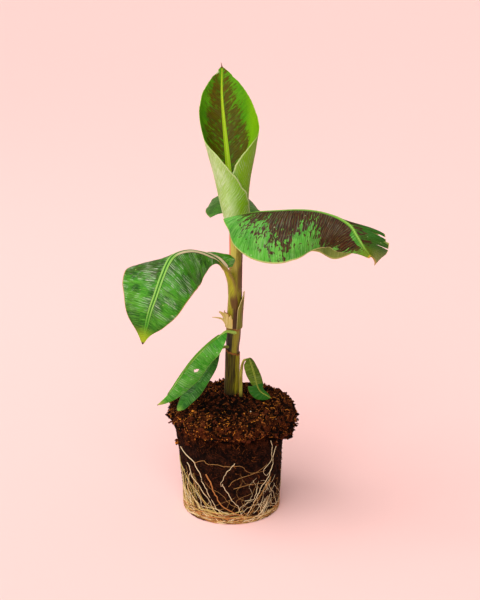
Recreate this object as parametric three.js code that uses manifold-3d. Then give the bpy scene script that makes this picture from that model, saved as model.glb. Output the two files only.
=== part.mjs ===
// A young banana plant lifted out of its nursery pot: the moulded root ball, the
// pseudostem of rolled leaf bases, and its leaves, each a blade on a petiole.
// Millimetres, +Z up, +X to the right, +Y to the back. The origin is the middle
// of the root ball's flat underside.
import * as THREE from 'three';
import { mergeVertices } from 'three/addons/utils/BufferGeometryUtils.js';
import Module from 'manifold-3d';

const wasm = await Module();
wasm.setup();

// Root ball
const BALL_FOOT_RADIUS = 50.5;
const BALL_WAIST_RADIUS = 54.5;
const COLLAR_RADIUS = 65.5;
const COLLAR_UNDER = 97;
const COLLAR_DROP = 19;
const COLLAR_TOP = 111;
const SOIL_EDGE = 116.5;
const SOIL_MOUND = 124.5;
const CRUMB_SIZE = 1.3;

// Roots round the foot of the ball
const MAT_HEIGHT = 10;
const MAT_THICKNESS = 1.8;
const STRAND_RADIUS = 0.9;
const ROOT_GAP = 0.6;
const ROOT_LIFT = 0.5;

// Pseudostem: its axis leans a little to the right as it rises
const STEM_AXIS = [[-0.5, 0, 105], [0, 0, 122], [1, 0, 151], [1.5, 0, 171], [3, 0, 206], [4, 0, 227],
  [5, 0, 267], [5, 0, 305.6]];
const STEM_RADII = [[0, 6.4], [0.3, 6.5], [0.36, 6.5], [0.41, 7.4], [0.55, 7.2], [0.75, 6.8], [1, 6.6]];
const SHEATH_RADIUS = 7.9;
const SHEATH_WALL = 1;
const SHEATH_TOP = 173;
const GAP = 0.3;

// Blades
const BIG_BLADE = 1.9;
const LOWER_BLADE = 1.3;
const SMALL_BLADE = 1;
const RIB_DEPTH = 1.5;
const RIB_WIDTH = 2.6;
const PETIOLE_RADIUS = 2.3;
const SHEATH_PETIOLE_RADIUS = 5.8;

const DEGREE = Math.PI / 180;

const COLOURS = {
  compost: [0x3a2519, 0.95],
  roots: [0xd8bf8e, 0.8],
  stem: [0x7d7a33, 0.6],
  dry: [0xb98a52, 0.9],
  petiole: [0x9db545, 0.5],
  leaf: [0x3f7a2a, 0.45],
  spindle: [0x8fbf6a, 0.5],
};

// The spine runs along the midrib from the blade's base to its tip; face is the way
// the upper side looks; each half has its width and three angles in degrees: lift at
// the midrib, curl on the way to the margin, and sweep of the side veins to the tip.
const LEFT_LEAF = {
  spine: [[-5, -17, 265], [-14, -23, 278], [-25, -32, 287], [-38, -45, 294], [-51, -59, 295],
    [-58, -69, 291],
    [-65, -80, 277], [-71, -88, 261], [-77, -92, 244], [-84, -92, 213]],
  face: [[0.2, -0.2, 1], [-0.2, -0.3, 1], [-0.4, -0.6, 0.8], [-0.45, -0.9, 0.25], [-0.3, -0.9, 0.2]],
  left: {
    width: [[0, 3], [0.08, 5], [0.16, 13], [0.25, 26], [0.35, 37], [0.45, 40], [0.55, 37], [0.65, 32],
      [0.75, 26.5],
      [0.85, 17], [0.93, 6], [1, 0.5]],
    lift: [[0, 0], [0.12, -30], [0.3, -45], [0.45, -38], [0.6, -12], [1, -5]],
    curl: [[0, -20], [0.3, -25], [0.5, -30], [0.8, -25], [1, -10]],
    sweep: [[0, 0], [0.2, -18], [0.35, -18], [0.45, 5], [0.55, 28], [0.7, 15], [1, 25]],
  },
  right: {
    width: [[0, 8], [0.04, 15], [0.08, 17], [0.12, 19], [0.16, 20], [0.2, 25], [0.25, 33], [0.35, 42],
      [0.45, 48], [0.55, 49],
      [0.65, 45], [0.75, 35],
      [0.85, 24], [0.93, 9.5], [1, 0.5]],
    lift: [[0, 65], [0.04, 65], [0.08, 52], [0.12, 30], [0.16, 16], [0.2, -4], [0.25, -24], [0.4, -28],
      [0.5, -12], [0.6, -2], [1, -3]],
    curl: [[0, -10], [0.3, -25], [0.5, -20], [0.6, -12], [1, -12]],
    sweep: [[0, -60], [0.12, -60], [0.2, -35], [0.28, -5], [0.5, 0], [0.8, 8], [1, 25]],
  },
};
const LEFT_BEND = 0.47;

const RIGHT_LEAF = {
  spine: [[14, -26, 324], [25, -37, 329.5], [43, -50, 334.5], [66, -60, 338], [85, -66, 337.5],
    [101, -72, 333.5],
    [113, -76, 326], [119, -79, 317], [126, -80, 306], [133, -80, 297]],
  face: [[-0.3, -0.1, 1], [0, 0, 1], [0.2, -0.1, 1], [0.6, -0.5, 0.65], [0.6, -0.55, 0.6]],
  left: {
    width: [[0, 24], [0.08, 34], [0.16, 42], [0.25, 50], [0.35, 56], [0.45, 58], [0.55, 62],
      [0.65, 61], [0.75, 40],
      [0.85, 32], [0.93, 32], [1, 33]],
    lift: [[0, -10], [0.3, -30], [0.5, -32], [0.6, -39], [0.69, -14], [0.77, 25], [0.85, 40], [1, -27]],
    curl: [[0, -40], [0.3, -60], [0.5, -60], [0.7, -40], [1, -20]],
    sweep: [[0, -40], [0.3, -10], [0.5, 5], [0.6, 27], [0.7, 45], [0.85, 53], [0.93, 46], [1, 42]],
  },
  right: {
    width: [[0, 23], [0.08, 31], [0.16, 46], [0.25, 57], [0.35, 59], [0.45, 53], [0.55, 42],
      [0.65, 35], [0.75, 33],
      [0.85, 26], [0.93, 10], [1, 3]],
    lift: [[0, 14], [0.08, 5], [0.25, -18], [0.5, -28], [0.75, -45], [1, -45]],
    curl: [[0, -10], [0.08, -45], [0.3, -60], [0.6, -55], [1, -35]],
    sweep: [[0, -60], [0.12, -35], [0.25, -15], [0.5, 0], [0.8, 10], [1, 20]],
  },
};
const RIGHT_TEARS = [0.78, 0.88];
const TEAR_WIDTH = 1.4;

const BACK_LEAF = {
  spine: [[6, 30, 308], [5, 60, 313], [4, 90, 313], [4, 110, 310], [3, 140, 296], [2, 165, 276]],
  face: [[0, -0.1, 1], [0, 0, 1], [0, 0.5, 1], [0, 1, 0.6]],
  left: {
    width: [[0, 31], [0.15, 34], [0.4, 28], [0.6, 24], [0.8, 18], [0.93, 10], [1, 0.5]],
    lift: [[0, 35], [0.3, 15], [0.5, 12], [1, 0]],
    curl: [[0, -60], [1, -40]],
    sweep: [[0, -20], [0.5, 5], [1, 20]],
  },
  right: {
    width: [[0, 22], [0.15, 27], [0.4, 23], [0.6, 19], [0.8, 14], [0.93, 8], [1, 0.5]],
    lift: [[0, 25], [0.3, 2], [1, -10]],
    curl: [[0, -50], [1, -40]],
    sweep: [[0, -20], [0.5, 5], [1, 20]],
  },
};

const LOWER_LEAF = {
  spine: [[-6, -17, 199], [-12, -23, 197], [-22, -28, 191], [-37, -32, 177], [-50, -32, 159],
    [-64, -28, 136],
    [-76, -22, 121]],
  face: [[-0.2, -0.4, 1], [-0.2, -0.9, 0.6], [-0.3, -1, 0.3], [-0.3, -1, 0.2]],
  left: {
    width: [[0, 3], [0.08, 10], [0.16, 15], [0.25, 17], [0.35, 19], [0.45, 21], [0.55, 21],
      [0.65, 18], [0.75, 14],
      [0.85, 9], [0.93, 5], [1, 0.5]],
    lift: [[0, -10], [0.3, -25], [1, -10]],
    curl: [[0, -20], [0.5, -40], [1, -30]],
    sweep: [[0, 0], [0.6, 5], [1, 20]],
  },
  right: {
    width: [[0, 3], [0.12, 10], [0.35, 17], [0.6, 18], [0.8, 12], [0.93, 6], [1, 0.5]],
    lift: [[0, -50], [0.3, -110], [1, -100]],
    curl: [[0, -20], [0.5, -40], [1, -30]],
    sweep: [[0, 0], [0.6, 5], [1, 20]],
  },
};
const LOWER_LEAF_HOLE = { station: 0.47, out: 0.5, radius: 2 };

const UNDER_LEAF = {
  spine: [[-14, -8, 174], [-19.6, -10, 160], [-29, -15, 146], [-36, -20, 137], [-44, -25, 130],
    [-55, -32, 119]],
  face: [[-0.2, -0.6, 0.8], [-0.3, -0.9, 0.5], [-0.3, -0.9, 0.6], [-0.4, -0.6, 0.8]],
  left: {
    width: [[0, 3], [0.2, 5.5], [0.45, 6.5], [0.7, 7], [0.9, 5], [1, 0.5]],
    lift: [[0, -10], [1, -10]],
    curl: [[0, -20], [1, -30]],
    sweep: [[0, 0], [1, 20]],
  },
  right: {
    width: [[0, 4], [0.2, 10], [0.45, 13], [0.7, 12], [0.9, 7], [1, 0.5]],
    lift: [[0, -10], [1, -10]],
    curl: [[0, -20], [1, -30]],
    sweep: [[0, 0], [1, 20]],
  },
};

const SMALL_LEAF = {
  spine: [[15, -9, 167], [18.5, -10.5, 167.5], [22, -11.5, 157.6], [24.5, -12, 147.7], [26.5, -12, 139],
    [30.5, -10.5, 131.5], [35.8, -9, 127], [40.5, -8, 123.5]],
  face: [[0, 0, 1], [0.3, -0.8, 0.5], [0.2, -1, 0.2], [0.2, -0.9, 0.4], [0.2, -0.9, 0.4]],
  left: {
    width: [[0, 1.5], [0.12, 4], [0.35, 6.5], [0.55, 7.5], [0.64, 7], [0.75, 4.5], [0.85, 3.5],
      [0.93, 2.5], [1, 0.5]],
    lift: [[0, 0], [1, 0]],
    curl: [[0, -20], [1, -20]],
    sweep: [[0, 0], [1, 20]],
  },
  right: {
    width: [[0, 1.5], [0.12, 7.5], [0.3, 8.5], [0.45, 7], [0.55, 5.5], [0.6, 4.5], [0.68, 11.5],
      [0.8, 9.5], [0.93, 4.5], [1, 0.5]],
    lift: [[0, 0], [1, 0]],
    curl: [[0, -20], [1, -20]],
    sweep: [[0, 0], [0.58, 0], [0.66, -40], [0.8, -15], [1, 20]],
  },
};
const SMALL_LEAF_CREASE = 0.61;

// The unfurling leaf is a scroll. At each height: the midrib's place, the scroll's
// radius, and how far round it each half reaches, in degrees from the midrib.
const SCROLL_FOOT = 306;
const SCROLL_TIP = 459;
const SCROLL_MIDRIB = 105;
const SCROLL_STEP = 3.6;
const SCROLL = {
  x: [[306, 2.7], [342, -0.8], [372, -3.6], [402, -6.6], [432, -8.9], [459, -8.6]],
  y: [[306, 8.7], [342, 15], [372, 21], [402, 26.8], [432, 30], [459, 30]],
  radius: [[306, 9], [328, 13.5], [354, 17.6], [384, 24.2], [410, 29], [432, 30], [459, 32]],
  left: [[306, 255], [328, 229], [354, 183], [372, 147], [384, 122], [394, 88], [402, 78], [410, 76],
    [432, 48],
    [447, 22], [455, 9], [459, 0.8]],
  right: [[306, 238], [328, 226], [354, 206], [372, 186], [384, 163], [394, 136], [402, 104],
    [410, 84], [432, 53],
    [447, 25], [455, 10], [459, 0.8]],
};

const vector = (p) => new THREE.Vector3(p[0], p[1], p[2]);

// A repeatable value from 0 to 1 for each whole number
function grain(number) {
  const wave = Math.sin(number * 12.9898 + 4.1) * 43758.5453;
  return wave - Math.floor(wave);
}

// Smooth value at s through [station, value] pairs
function along(keys, s) {
  const last = keys.length - 1;
  let i = 0;
  while (i < last - 1 && s > keys[i + 1][0]) i++;
  const slope = (j) => {
    const before = keys[Math.max(j - 1, 0)];
    const after = keys[Math.min(j + 1, last)];
    return (after[1] - before[1]) / (after[0] - before[0]);
  };
  const span = keys[i + 1][0] - keys[i][0];
  const u = (s - keys[i][0]) / span;
  const square = u * u;
  const cube = square * u;
  return (2 * cube - 3 * square + 1) * keys[i][1] + (cube - 2 * square + u) * span * slope(i)
    + (3 * square - 2 * cube) * keys[i + 1][1] + (cube - square) * span * slope(i + 1);
}

// Smooth curve through points, as a function of the share of the run from 0 to 1
function spineCurve(points) {
  const runs = [0];
  for (let i = 1; i < points.length; i++) {
    runs.push(runs[i - 1] + vector(points[i]).distanceTo(vector(points[i - 1])));
  }
  const total = runs[runs.length - 1];
  const axes = [0, 1, 2].map((axis) => points.map((p, i) => [runs[i] / total, p[axis]]));
  return (s) => new THREE.Vector3(along(axes[0], s), along(axes[1], s), along(axes[2], s));
}

// The blade's sheet point at station s, share v from the midrib (-1) to 0 to (1)
function sheetPoint(leaf, curve, s, v) {
  const step = 0.01;
  const from = Math.max(s - step, 0);
  const to = Math.min(s + step, 1);
  const forward = curve(to).sub(curve(from)).normalize();
  const count = leaf.face.length - 1;
  const faceKeys = [0, 1, 2].map((axis) => leaf.face.map((p, i) => [i / count, p[axis]]));
  const face = new THREE.Vector3(along(faceKeys[0], s), along(faceKeys[1], s), along(faceKeys[2], s));
  const normal = face.addScaledVector(forward, -face.dot(forward)).normalize();
  const side = new THREE.Vector3().crossVectors(normal, forward).multiplyScalar(v < 0 ? -1 : 1);
  const half = v < 0 ? leaf.right : leaf.left;
  const share = Math.abs(v);
  const width = Math.max(along(half.width, s), 0.4);
  const lift = along(half.lift, s) * DEGREE;
  const turn = along(half.curl, s) * DEGREE;
  const curl = Math.abs(turn) < 0.001 ? 0.001 : turn;
  const sweep = along(half.sweep, s) * DEGREE;
  const radius = width / curl;
  const angle = lift + curl * share;
  const out = (Math.sin(angle) - Math.sin(lift)) * radius;
  const rise = (Math.cos(lift) - Math.cos(angle)) * radius;
  return curve(s).addScaledVector(side, out * Math.cos(sweep)).addScaledVector(forward, out * Math.sin(sweep))
    .addScaledVector(normal, rise);
}

// Indexed geometry from points and triangles, with its faces turned outwards
function closedGeometry(points, triangles) {
  let volume = 0;
  for (const [a, b, c] of triangles) {
    volume += points[a].dot(new THREE.Vector3().crossVectors(points[b], points[c]));
  }
  const turned = volume < 0 ? triangles.map(([a, b, c]) => [a, c, b]) : triangles;
  const geometry = new THREE.BufferGeometry();
  const places = points.flatMap((p) => p.toArray());
  geometry.setAttribute('position', new THREE.Float32BufferAttribute(places, 3));
  geometry.setIndex(turned.flat());
  return geometry;
}

// A plate from a grid of middle points and a thickness over and under each; it ends in
// its last row, or in a point past it
function plate(grid, over, under, apex) {
  const rows = grid.length;
  const columns = grid[0].length;
  const points = [];
  const triangles = [];
  const clampRow = (i) => Math.min(Math.max(i, 0), rows - 1);
  const clampColumn = (j) => Math.min(Math.max(j, 0), columns - 1);
  const normals = grid.map((row, i) => row.map((p, j) => {
    const across = grid[i][clampColumn(j + 1)].clone().sub(grid[i][clampColumn(j - 1)]);
    const ahead = grid[clampRow(i + 1)][j].clone().sub(grid[clampRow(i - 1)][j]);
    return across.cross(ahead).normalize().negate();
  }));
  for (const side of [1, -1]) {
    for (let i = 0; i < rows; i++) {
      for (let j = 0; j < columns; j++) {
        const depth = side > 0 ? over(i, j) : -under(i, j);
        points.push(grid[i][j].clone().addScaledVector(normals[i][j], depth));
      }
    }
  }
  const top = (i, j) => i * columns + j;
  const bottom = (i, j) => rows * columns + i * columns + j;
  const quad = (a, b, c, d) => triangles.push([a, b, c], [a, c, d]);
  for (let i = 0; i < rows - 1; i++) {
    for (let j = 0; j < columns - 1; j++) {
      quad(top(i, j), top(i, j + 1), top(i + 1, j + 1), top(i + 1, j));
      quad(bottom(i, j), bottom(i + 1, j), bottom(i + 1, j + 1), bottom(i, j + 1));
    }
  }
  const right = columns - 1;
  for (let i = 0; i < rows - 1; i++) {
    quad(top(i, 0), top(i + 1, 0), bottom(i + 1, 0), bottom(i, 0));
    quad(top(i, right), bottom(i, right), bottom(i + 1, right), top(i + 1, right));
  }
  const end = rows - 1;
  for (let j = 0; j < columns - 1; j++) {
    quad(top(0, j), bottom(0, j), bottom(0, j + 1), top(0, j + 1));
    if (!apex) quad(top(end, j), top(end, j + 1), bottom(end, j + 1), bottom(end, j));
  }
  if (apex) {
    const tip = points.push(apex) - 1;
    for (let j = 0; j < columns - 1; j++) {
      triangles.push([top(end, j), top(end, j + 1), tip], [bottom(end, j), tip, bottom(end, j + 1)]);
    }
    triangles.push([top(end, 0), tip, bottom(end, 0)], [top(end, right), bottom(end, right), tip]);
  }
  return closedGeometry(points, triangles);
}

// A blade, or the stretch of it between two stations, with its midrib under it
function blade(leaf, thickness, rows, columns, from = 0, to = 1) {
  const curve = spineCurve(leaf.spine);
  const share = (s, j) => {
    const width = along((j < 0 ? leaf.right : leaf.left).width, s);
    const first = Math.min(Math.max(RIB_WIDTH / 2 / width, 0.08), 0.3);
    const step = (Math.abs(j) - 1) / (columns - 1);
    return j === 0 ? 0 : Math.sign(j) * (first + (1 - first) * step);
  };
  const places = Array.from({ length: 2 * columns + 1 }, (_, k) => k - columns);
  const pointed = to === 1 && along(leaf.left.width, 1) < thickness;
  const stations = Array.from({ length: rows + 1 }, (_, i) => from + (to - from) * i / rows);
  if (pointed) stations.pop();
  const grid = stations.map((s) => places.map((j) => sheetPoint(leaf, curve, s, share(s, j))));
  const apart = (i, j) => grid[i][j].distanceTo(grid[i][2 * columns - j]);
  const sideWidth = (i, j) => along((j < columns ? leaf.right : leaf.left).width, stations[i]);
  const fold = stations.map((_, i) => {
    const middle = grid[i][columns];
    const flat = grid[i][columns + 1].distanceTo(middle) + grid[i][columns - 1].distanceTo(middle);
    return 1 - apart(i, columns + 1) / flat;
  });
  const rib = (i, j) => {
    const reach = grid[i][j].distanceTo(grid[i][columns]) / RIB_WIDTH;
    const narrow = Math.min(1, sideWidth(i, j) / (3 * RIB_WIDTH));
    const open = Math.max(0, 1 - 3 * fold[i]);
    return RIB_DEPTH * (1 - 0.7 * stations[i]) * narrow * open * Math.max(0, 1 - reach * reach);
  };
  const room = (i, j) => (j === columns ? Infinity : 0.25 * apart(i, j) / Math.max(fold[i], 0.01));
  const half = (i, j) => Math.min(thickness / 2, room(i, j), 0.35 * sideWidth(i, j));
  return plate(grid, half, (i, j) => half(i, j) + rib(i, j), pointed ? curve(1) : null);
}

// A closed body through rings of points, with a point in the middle of each end
function loft(rings) {
  const around = rings[0].length;
  const points = rings.flat();
  const middle = (ring) => ring.reduce((sum, p) => sum.add(p), new THREE.Vector3()).divideScalar(around);
  const foot = points.push(middle(rings[0])) - 1;
  const head = points.push(middle(rings[rings.length - 1])) - 1;
  const triangles = [];
  for (let i = 0; i < rings.length - 1; i++) {
    for (let k = 0; k < around; k++) {
      const next = (k + 1) % around;
      const a = i * around;
      const b = a + around;
      triangles.push([a + k, a + next, b + next], [a + k, b + next, b + k]);
    }
  }
  const top = (rings.length - 1) * around;
  for (let k = 0; k < around; k++) {
    const next = (k + 1) % around;
    triangles.push([foot, next, k], [head, top + k, top + next]);
  }
  return closedGeometry(points, triangles);
}

// A level round body along an axis through points, with a radius for each share
function post(axis, radius, sides, steps, grow = 0) {
  const curve = spineCurve(axis);
  const rings = [];
  for (let i = 0; i <= steps; i++) {
    const centre = curve(i / steps);
    centre.z += grow * (i === 0 ? -1 : Number(i === steps));
    const size = radius(i / steps) + grow;
    rings.push(Array.from({ length: sides }, (_, k) => {
      const angle = 2 * Math.PI * k / sides;
      return new THREE.Vector3(size * Math.cos(angle), size * Math.sin(angle), 0).add(centre);
    }));
  }
  return loft(rings);
}

// A stalk along points whose section is an oval with a groove along its upper side
function stalk(points, size, steps, upper, groove = 0.35, grow = 0, sides = 10) {
  const curve = spineCurve(points);
  const rings = [];
  for (let i = 0; i <= steps; i++) {
    const s = i / steps;
    const forward = curve(Math.min(s + 0.01, 1)).sub(curve(Math.max(s - 0.01, 0))).normalize();
    const normal = vector(upper);
    normal.addScaledVector(forward, -normal.dot(forward)).normalize();
    const side = new THREE.Vector3().crossVectors(normal, forward);
    const centre = curve(s).addScaledVector(forward, grow * (i === 0 ? -1 : Number(i === steps)));
    const radius = size(s) + grow;
    rings.push(Array.from({ length: sides }, (_, k) => {
      const angle = 2 * Math.PI * k / sides;
      const dip = Math.max(0, Math.sin(angle)) ** 3 * groove;
      return centre.clone().addScaledVector(side, radius * Math.cos(angle))
        .addScaledVector(normal, radius * (Math.sin(angle) - dip));
    }));
  }
  return loft(rings);
}

const taper = (from, to) => (s) => from + (to - from) * s;

// Solids for joining and cutting
function solid(geometry) {
  const bare = geometry.clone();
  bare.deleteAttribute('normal');
  bare.deleteAttribute('uv');
  const merged = mergeVertices(bare, 1e-4);
  return new wasm.Manifold(new wasm.Mesh({
    numProp: 3,
    vertProperties: new Float32Array(merged.attributes.position.array),
    triVerts: new Uint32Array(merged.index.array),
  }));
}

function geometryOf(manifold) {
  const mesh = manifold.getMesh();
  const geometry = new THREE.BufferGeometry();
  geometry.setAttribute('position', new THREE.BufferAttribute(new Float32Array(mesh.vertProperties), 3));
  geometry.setIndex(new THREE.BufferAttribute(new Uint32Array(mesh.triVerts), 1));
  return geometry;
}

// A box standing on a point, for cuts
function block(width, depth, height, place, turn = [0, 0, 0]) {
  const box = new THREE.BoxGeometry(width, depth, height);
  box.rotateX(turn[0] * DEGREE);
  box.rotateY(turn[1] * DEGREE);
  box.rotateZ(turn[2] * DEGREE);
  box.translate(place[0], place[1], place[2]);
  return solid(box);
}

// Radius of the root ball's side at an angle round it and a height
function sideRadius(angle, height) {
  const rise = Math.min(height / 80, 1);
  const taper = BALL_FOOT_RADIUS + (BALL_WAIST_RADIUS - BALL_FOOT_RADIUS) * rise;
  const settled = Math.min(Math.max((height - MAT_HEIGHT * 1.6) / 12, 0), 1);
  const wander = 0.5 * Math.sin(5 * angle + height * 0.09) + 0.3 * Math.sin(11 * angle - height * 0.2);
  return taper + settled * wander;
}

// How much the right side of the collar sags, from 0 to 1
function sag(angle) {
  const turn = Math.atan2(Math.sin(angle - 10 * DEGREE), Math.cos(angle - 10 * DEGREE));
  return Math.max(0, Math.cos(turn * 1.5)) * (Math.abs(turn) < 60 * DEGREE ? 1 : 0);
}

function rootBall() {
  const around = 54;
  const rings = [];
  const ring = (place) => Array.from({ length: around }, (_, k) => {
    const angle = 2 * Math.PI * k / around;
    const [radius, height] = place(angle, k);
    return new THREE.Vector3(radius * Math.cos(angle), radius * Math.sin(angle), height);
  });
  for (const radius of [12, 34]) rings.push(ring(() => [radius, 0]));
  const sideTop = COLLAR_UNDER - 21;
  for (const share of [0, 0.08, 0.24, 0.4, 0.55, 0.71, 0.87, 1]) {
    rings.push(ring((angle) => [sideRadius(angle, sideTop * share), sideTop * share]));
  }
  const rough = (k, row, size) => (grain(k * 7 + row * 131) - 0.5) * 2 * size;
  const under = (angle) => COLLAR_UNDER - COLLAR_DROP * sag(angle);
  const reach = (angle) => COLLAR_RADIUS + 1.5 * Math.sin(3 * angle + 0.6) + 1.2 * Math.cos(angle * 7 + 2);
  // Rings of the collar and the soil on it: inward from the collar's reach, height, roughness
  const collar = [
    { inset: 4.5, height: under, rough: [CRUMB_SIZE, 1] },
    { inset: 0.8, height: (angle) => under(angle) + 4.5, rough: [CRUMB_SIZE, 0.8] },
    { inset: -1, height: () => COLLAR_TOP - 4, rough: [CRUMB_SIZE, 0.8] },
    { inset: 0, height: () => COLLAR_TOP, rough: [CRUMB_SIZE, 0.8] },
    { inset: 4, height: () => SOIL_EDGE - 1, rough: [1, 0.9] },
  ];
  rings.push(ring((angle, k) => [sideRadius(angle, sideTop) + 0.4, under(angle) - 2.5 + rough(k, 1, 0.5)]));
  collar.forEach(({ inset, height, rough: [out, up] }, row) => {
    rings.push(ring((angle, k) => [reach(angle) - inset + rough(k, 2 * row + 2, out),
      height(angle) + rough(k, 2 * row + 3, up)]));
  });
  const soil = [[55, 0, 1], [42, 1, 1], [30, 3, 0.8], [19, 5.5, 0.6]];
  soil.forEach(([radius, rise, up], row) => {
    rings.push(ring((angle, k) => [radius, SOIL_EDGE + rise + rough(k, row + 13, up)]));
  });
  rings.push(ring(() => [10, SOIL_MOUND]));
  return solid(loft(rings));
}

// A band of matted roots round the foot of the ball, with strands rising from it
function rootNet() {
  const around = 60;
  const outer = [];
  const inner = [];
  for (let k = 0; k < around; k++) {
    const angle = 2 * Math.PI * k / around;
    const leftRise = Math.max(0, Math.cos(angle - 205 * DEGREE)) ** 3;
    const height = MAT_HEIGHT + 5 * leftRise + 1.4 * Math.sin(9 * angle) + grain(k) * 1.6;
    outer.push({ angle, height, swell: MAT_THICKNESS + 0.6 * Math.sin(13 * angle) });
    inner.push({ angle, height, swell: 0 });
  }
  const place = ({ angle, swell }, height) => {
    const radius = sideRadius(angle, height) + ROOT_GAP + swell;
    return new THREE.Vector3(radius * Math.cos(angle), radius * Math.sin(angle), height);
  };
  const points = [];
  for (const column of outer) points.push(place(column, ROOT_LIFT), place(column, column.height - 1));
  for (const column of inner) points.push(place(column, column.height), place(column, ROOT_LIFT));
  const triangles = [];
  for (let k = 0; k < around; k++) {
    const next = (k + 1) % around;
    const here = [2 * k, 2 * k + 1, 2 * (around + k), 2 * (around + k) + 1];
    const there = [2 * next, 2 * next + 1, 2 * (around + next), 2 * (around + next) + 1];
    for (let side = 0; side < here.length; side++) {
      const across = (side + 1) % here.length;
      triangles.push([here[side], there[side], there[across]], [here[side], there[across], here[across]]);
    }
  }
  let net = solid(closedGeometry(points, triangles));
  // Each strand: where it leaves the band, where it ends, and how it wanders
  const strands = [
    { from: 205, to: 192, top: 62, wander: 5 },
    { from: 216, to: 208, top: 52, wander: -4 },
    { from: 250, to: 240, top: 34, wander: -4 },
    { from: 270, to: 262, top: 50, wander: 6 },
    { from: 318, to: 333, top: 66, wander: -5 },
    { from: 20, to: 34, top: 48, wander: 5 },
    { from: 110, to: 122, top: 52, wander: 5 },
    { from: 150, to: 140, top: 46, wander: -5 },
  ];
  for (const strand of strands) {
    const path = [];
    const steps = 8;
    for (let i = 0; i <= steps; i++) {
      const share = i / steps;
      const angle = (strand.from + (strand.to - strand.from) * share
        + strand.wander * Math.sin(share * 5)) * DEGREE;
      const height = MAT_HEIGHT - 4 + (strand.top - MAT_HEIGHT + 4) * share;
      const radius = sideRadius(angle, height) + ROOT_GAP + STRAND_RADIUS;
      path.push([radius * Math.cos(angle), radius * Math.sin(angle), height]);
    }
    net = net.add(solid(stalk(path, (s) => STRAND_RADIUS * (1 - 0.35 * s), 8, [0.2, 0.1, 1], 0, 0, 5)));
  }
  return net;
}

const stemRadius = (s) => along(STEM_RADII, s);
const stemBody = (grow = 0) => solid(post(STEM_AXIS, stemRadius, 20, 15, grow));

// The outer leaf base wraps the foot of the stem; its free edge is cut aslant
function outerSheath() {
  const axis = [[-0.3, 0, 112], [0, 0, 122], [1, 0, 151], [1.6, 0, 178]];
  const outside = solid(post(axis, (s) => SHEATH_RADIUS - 0.2 * s, 20, 5));
  const tall = [[-0.4, 0, 108], [0, 0, 122], [1, 0, 151], [1.7, 0, 182]];
  const inside = solid(post(tall, () => SHEATH_RADIUS - SHEATH_WALL, 20, 5));
  const slant = 14;
  const lid = block(60, 60, 30, [0, 0, SHEATH_TOP + 14], [0, slant, 0]);
  return outside.subtract(inside).subtract(lid);
}

// A piece of old leaf base that hugs the stem over part of its round
function clasp(from, to, foot, head, thickness, lean) {
  const rows = 5;
  const columns = 8;
  const curve = spineCurve(STEM_AXIS);
  const base = STEM_AXIS[0][2];
  const tall = STEM_AXIS[STEM_AXIS.length - 1][2] - base;
  const grid = [];
  for (let i = 0; i <= rows; i++) {
    const row = [];
    for (let j = 0; j <= columns; j++) {
      const angle = (from + (to - from) * j / columns) * DEGREE;
      const edge = Math.abs(2 * j / columns - 1);
      const height = foot + (head - foot) * (1 - 0.45 * edge * edge) * i / rows;
      const share = (height - base) / tall;
      const centre = curve(share);
      const flare = lean * (i / rows) ** 2;
      const radius = stemRadius(share) + 0.75 + thickness / 2 + flare;
      row.push(new THREE.Vector3(centre.x + radius * Math.cos(angle), radius * Math.sin(angle), height));
    }
    grid.push(row);
  }
  return solid(plate(grid, () => thickness / 2, () => thickness / 2));
}

function dryStub() {
  const wrap = clasp(150, 262, 199, 214, 1, 0.6);
  const upperPath = [[-4.6, -3.5, 209], [-8, -4, 214], [-11, -4, 217]];
  const lowerPath = [[-4.6, -3.5, 204], [-9, -4.5, 209], [-14, -5, 210.5]];
  const flap = (path, size) => solid(stalk(path, size, 3, [0, -1, 0.2], 0.4));
  return wrap.add(flap(upperPath, taper(1.3, 0.6))).add(flap(lowerPath, taper(1.4, 0.5)));
}

function cutPetiole() {
  const wrap = clasp(-85, 60, 197, 236, 1.2, 1.2);
  const spoutPath = [[13, -3.5, 224], [13.2, -3.6, 231], [13.8, -3.8, 239]];
  return wrap.add(solid(stalk(spoutPath, taper(1.9, 1.2), 3, [-1, -0.4, 0], 0.5)));
}

function scroll() {
  const rows = 22;
  const columns = 13;
  const grid = [];
  for (let i = 0; i <= rows; i++) {
    const share = i / rows;
    const height = SCROLL_FOOT + (SCROLL_TIP - SCROLL_FOOT) * share;
    const radius = along(SCROLL.radius, height);
    const middle = SCROLL_MIDRIB * DEGREE;
    const centreX = along(SCROLL.x, height) - radius * Math.cos(middle);
    const centreY = along(SCROLL.y, height) - radius * Math.sin(middle);
    const row = [];
    for (let j = -columns; j <= columns; j++) {
      const reach = along(j < 0 ? SCROLL.right : SCROLL.left, height) * j / columns;
      const angle = middle + reach * DEGREE;
      const size = radius + SCROLL_STEP * reach / 360;
      row.push(new THREE.Vector3(centreX + size * Math.cos(angle), centreY + size * Math.sin(angle), height));
    }
    grid.push(row);
  }
  const half = BIG_BLADE / 2;
  return plate(grid, () => half, () => half);
}

function rightBlade() {
  const curve = spineCurve(RIGHT_LEAF.spine);
  let whole = solid(blade(RIGHT_LEAF, BIG_BLADE, 22, 6));
  for (const station of RIGHT_TEARS) {
    const start = sheetPoint(RIGHT_LEAF, curve, station, 0.45);
    const finish = sheetPoint(RIGHT_LEAF, curve, station, 1);
    const beside = sheetPoint(RIGHT_LEAF, curve, station + 0.03, 0.8);
    const run = finish.clone().sub(start);
    const across = beside.sub(start).cross(run).normalize();
    const width = new THREE.Vector3().crossVectors(across, run).normalize();
    const wedge = loft([0, 1.3].map((share) => {
      const centre = start.clone().addScaledVector(run, share);
      const half = 0.2 + TEAR_WIDTH * share;
      return [[-1, -1], [1, -1], [1, 1], [-1, 1]].map(([a, b]) => centre.clone()
        .addScaledVector(width, a * half).addScaledVector(across, b * 6));
    }));
    whole = whole.subtract(solid(wedge));
  }
  return whole;
}

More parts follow.
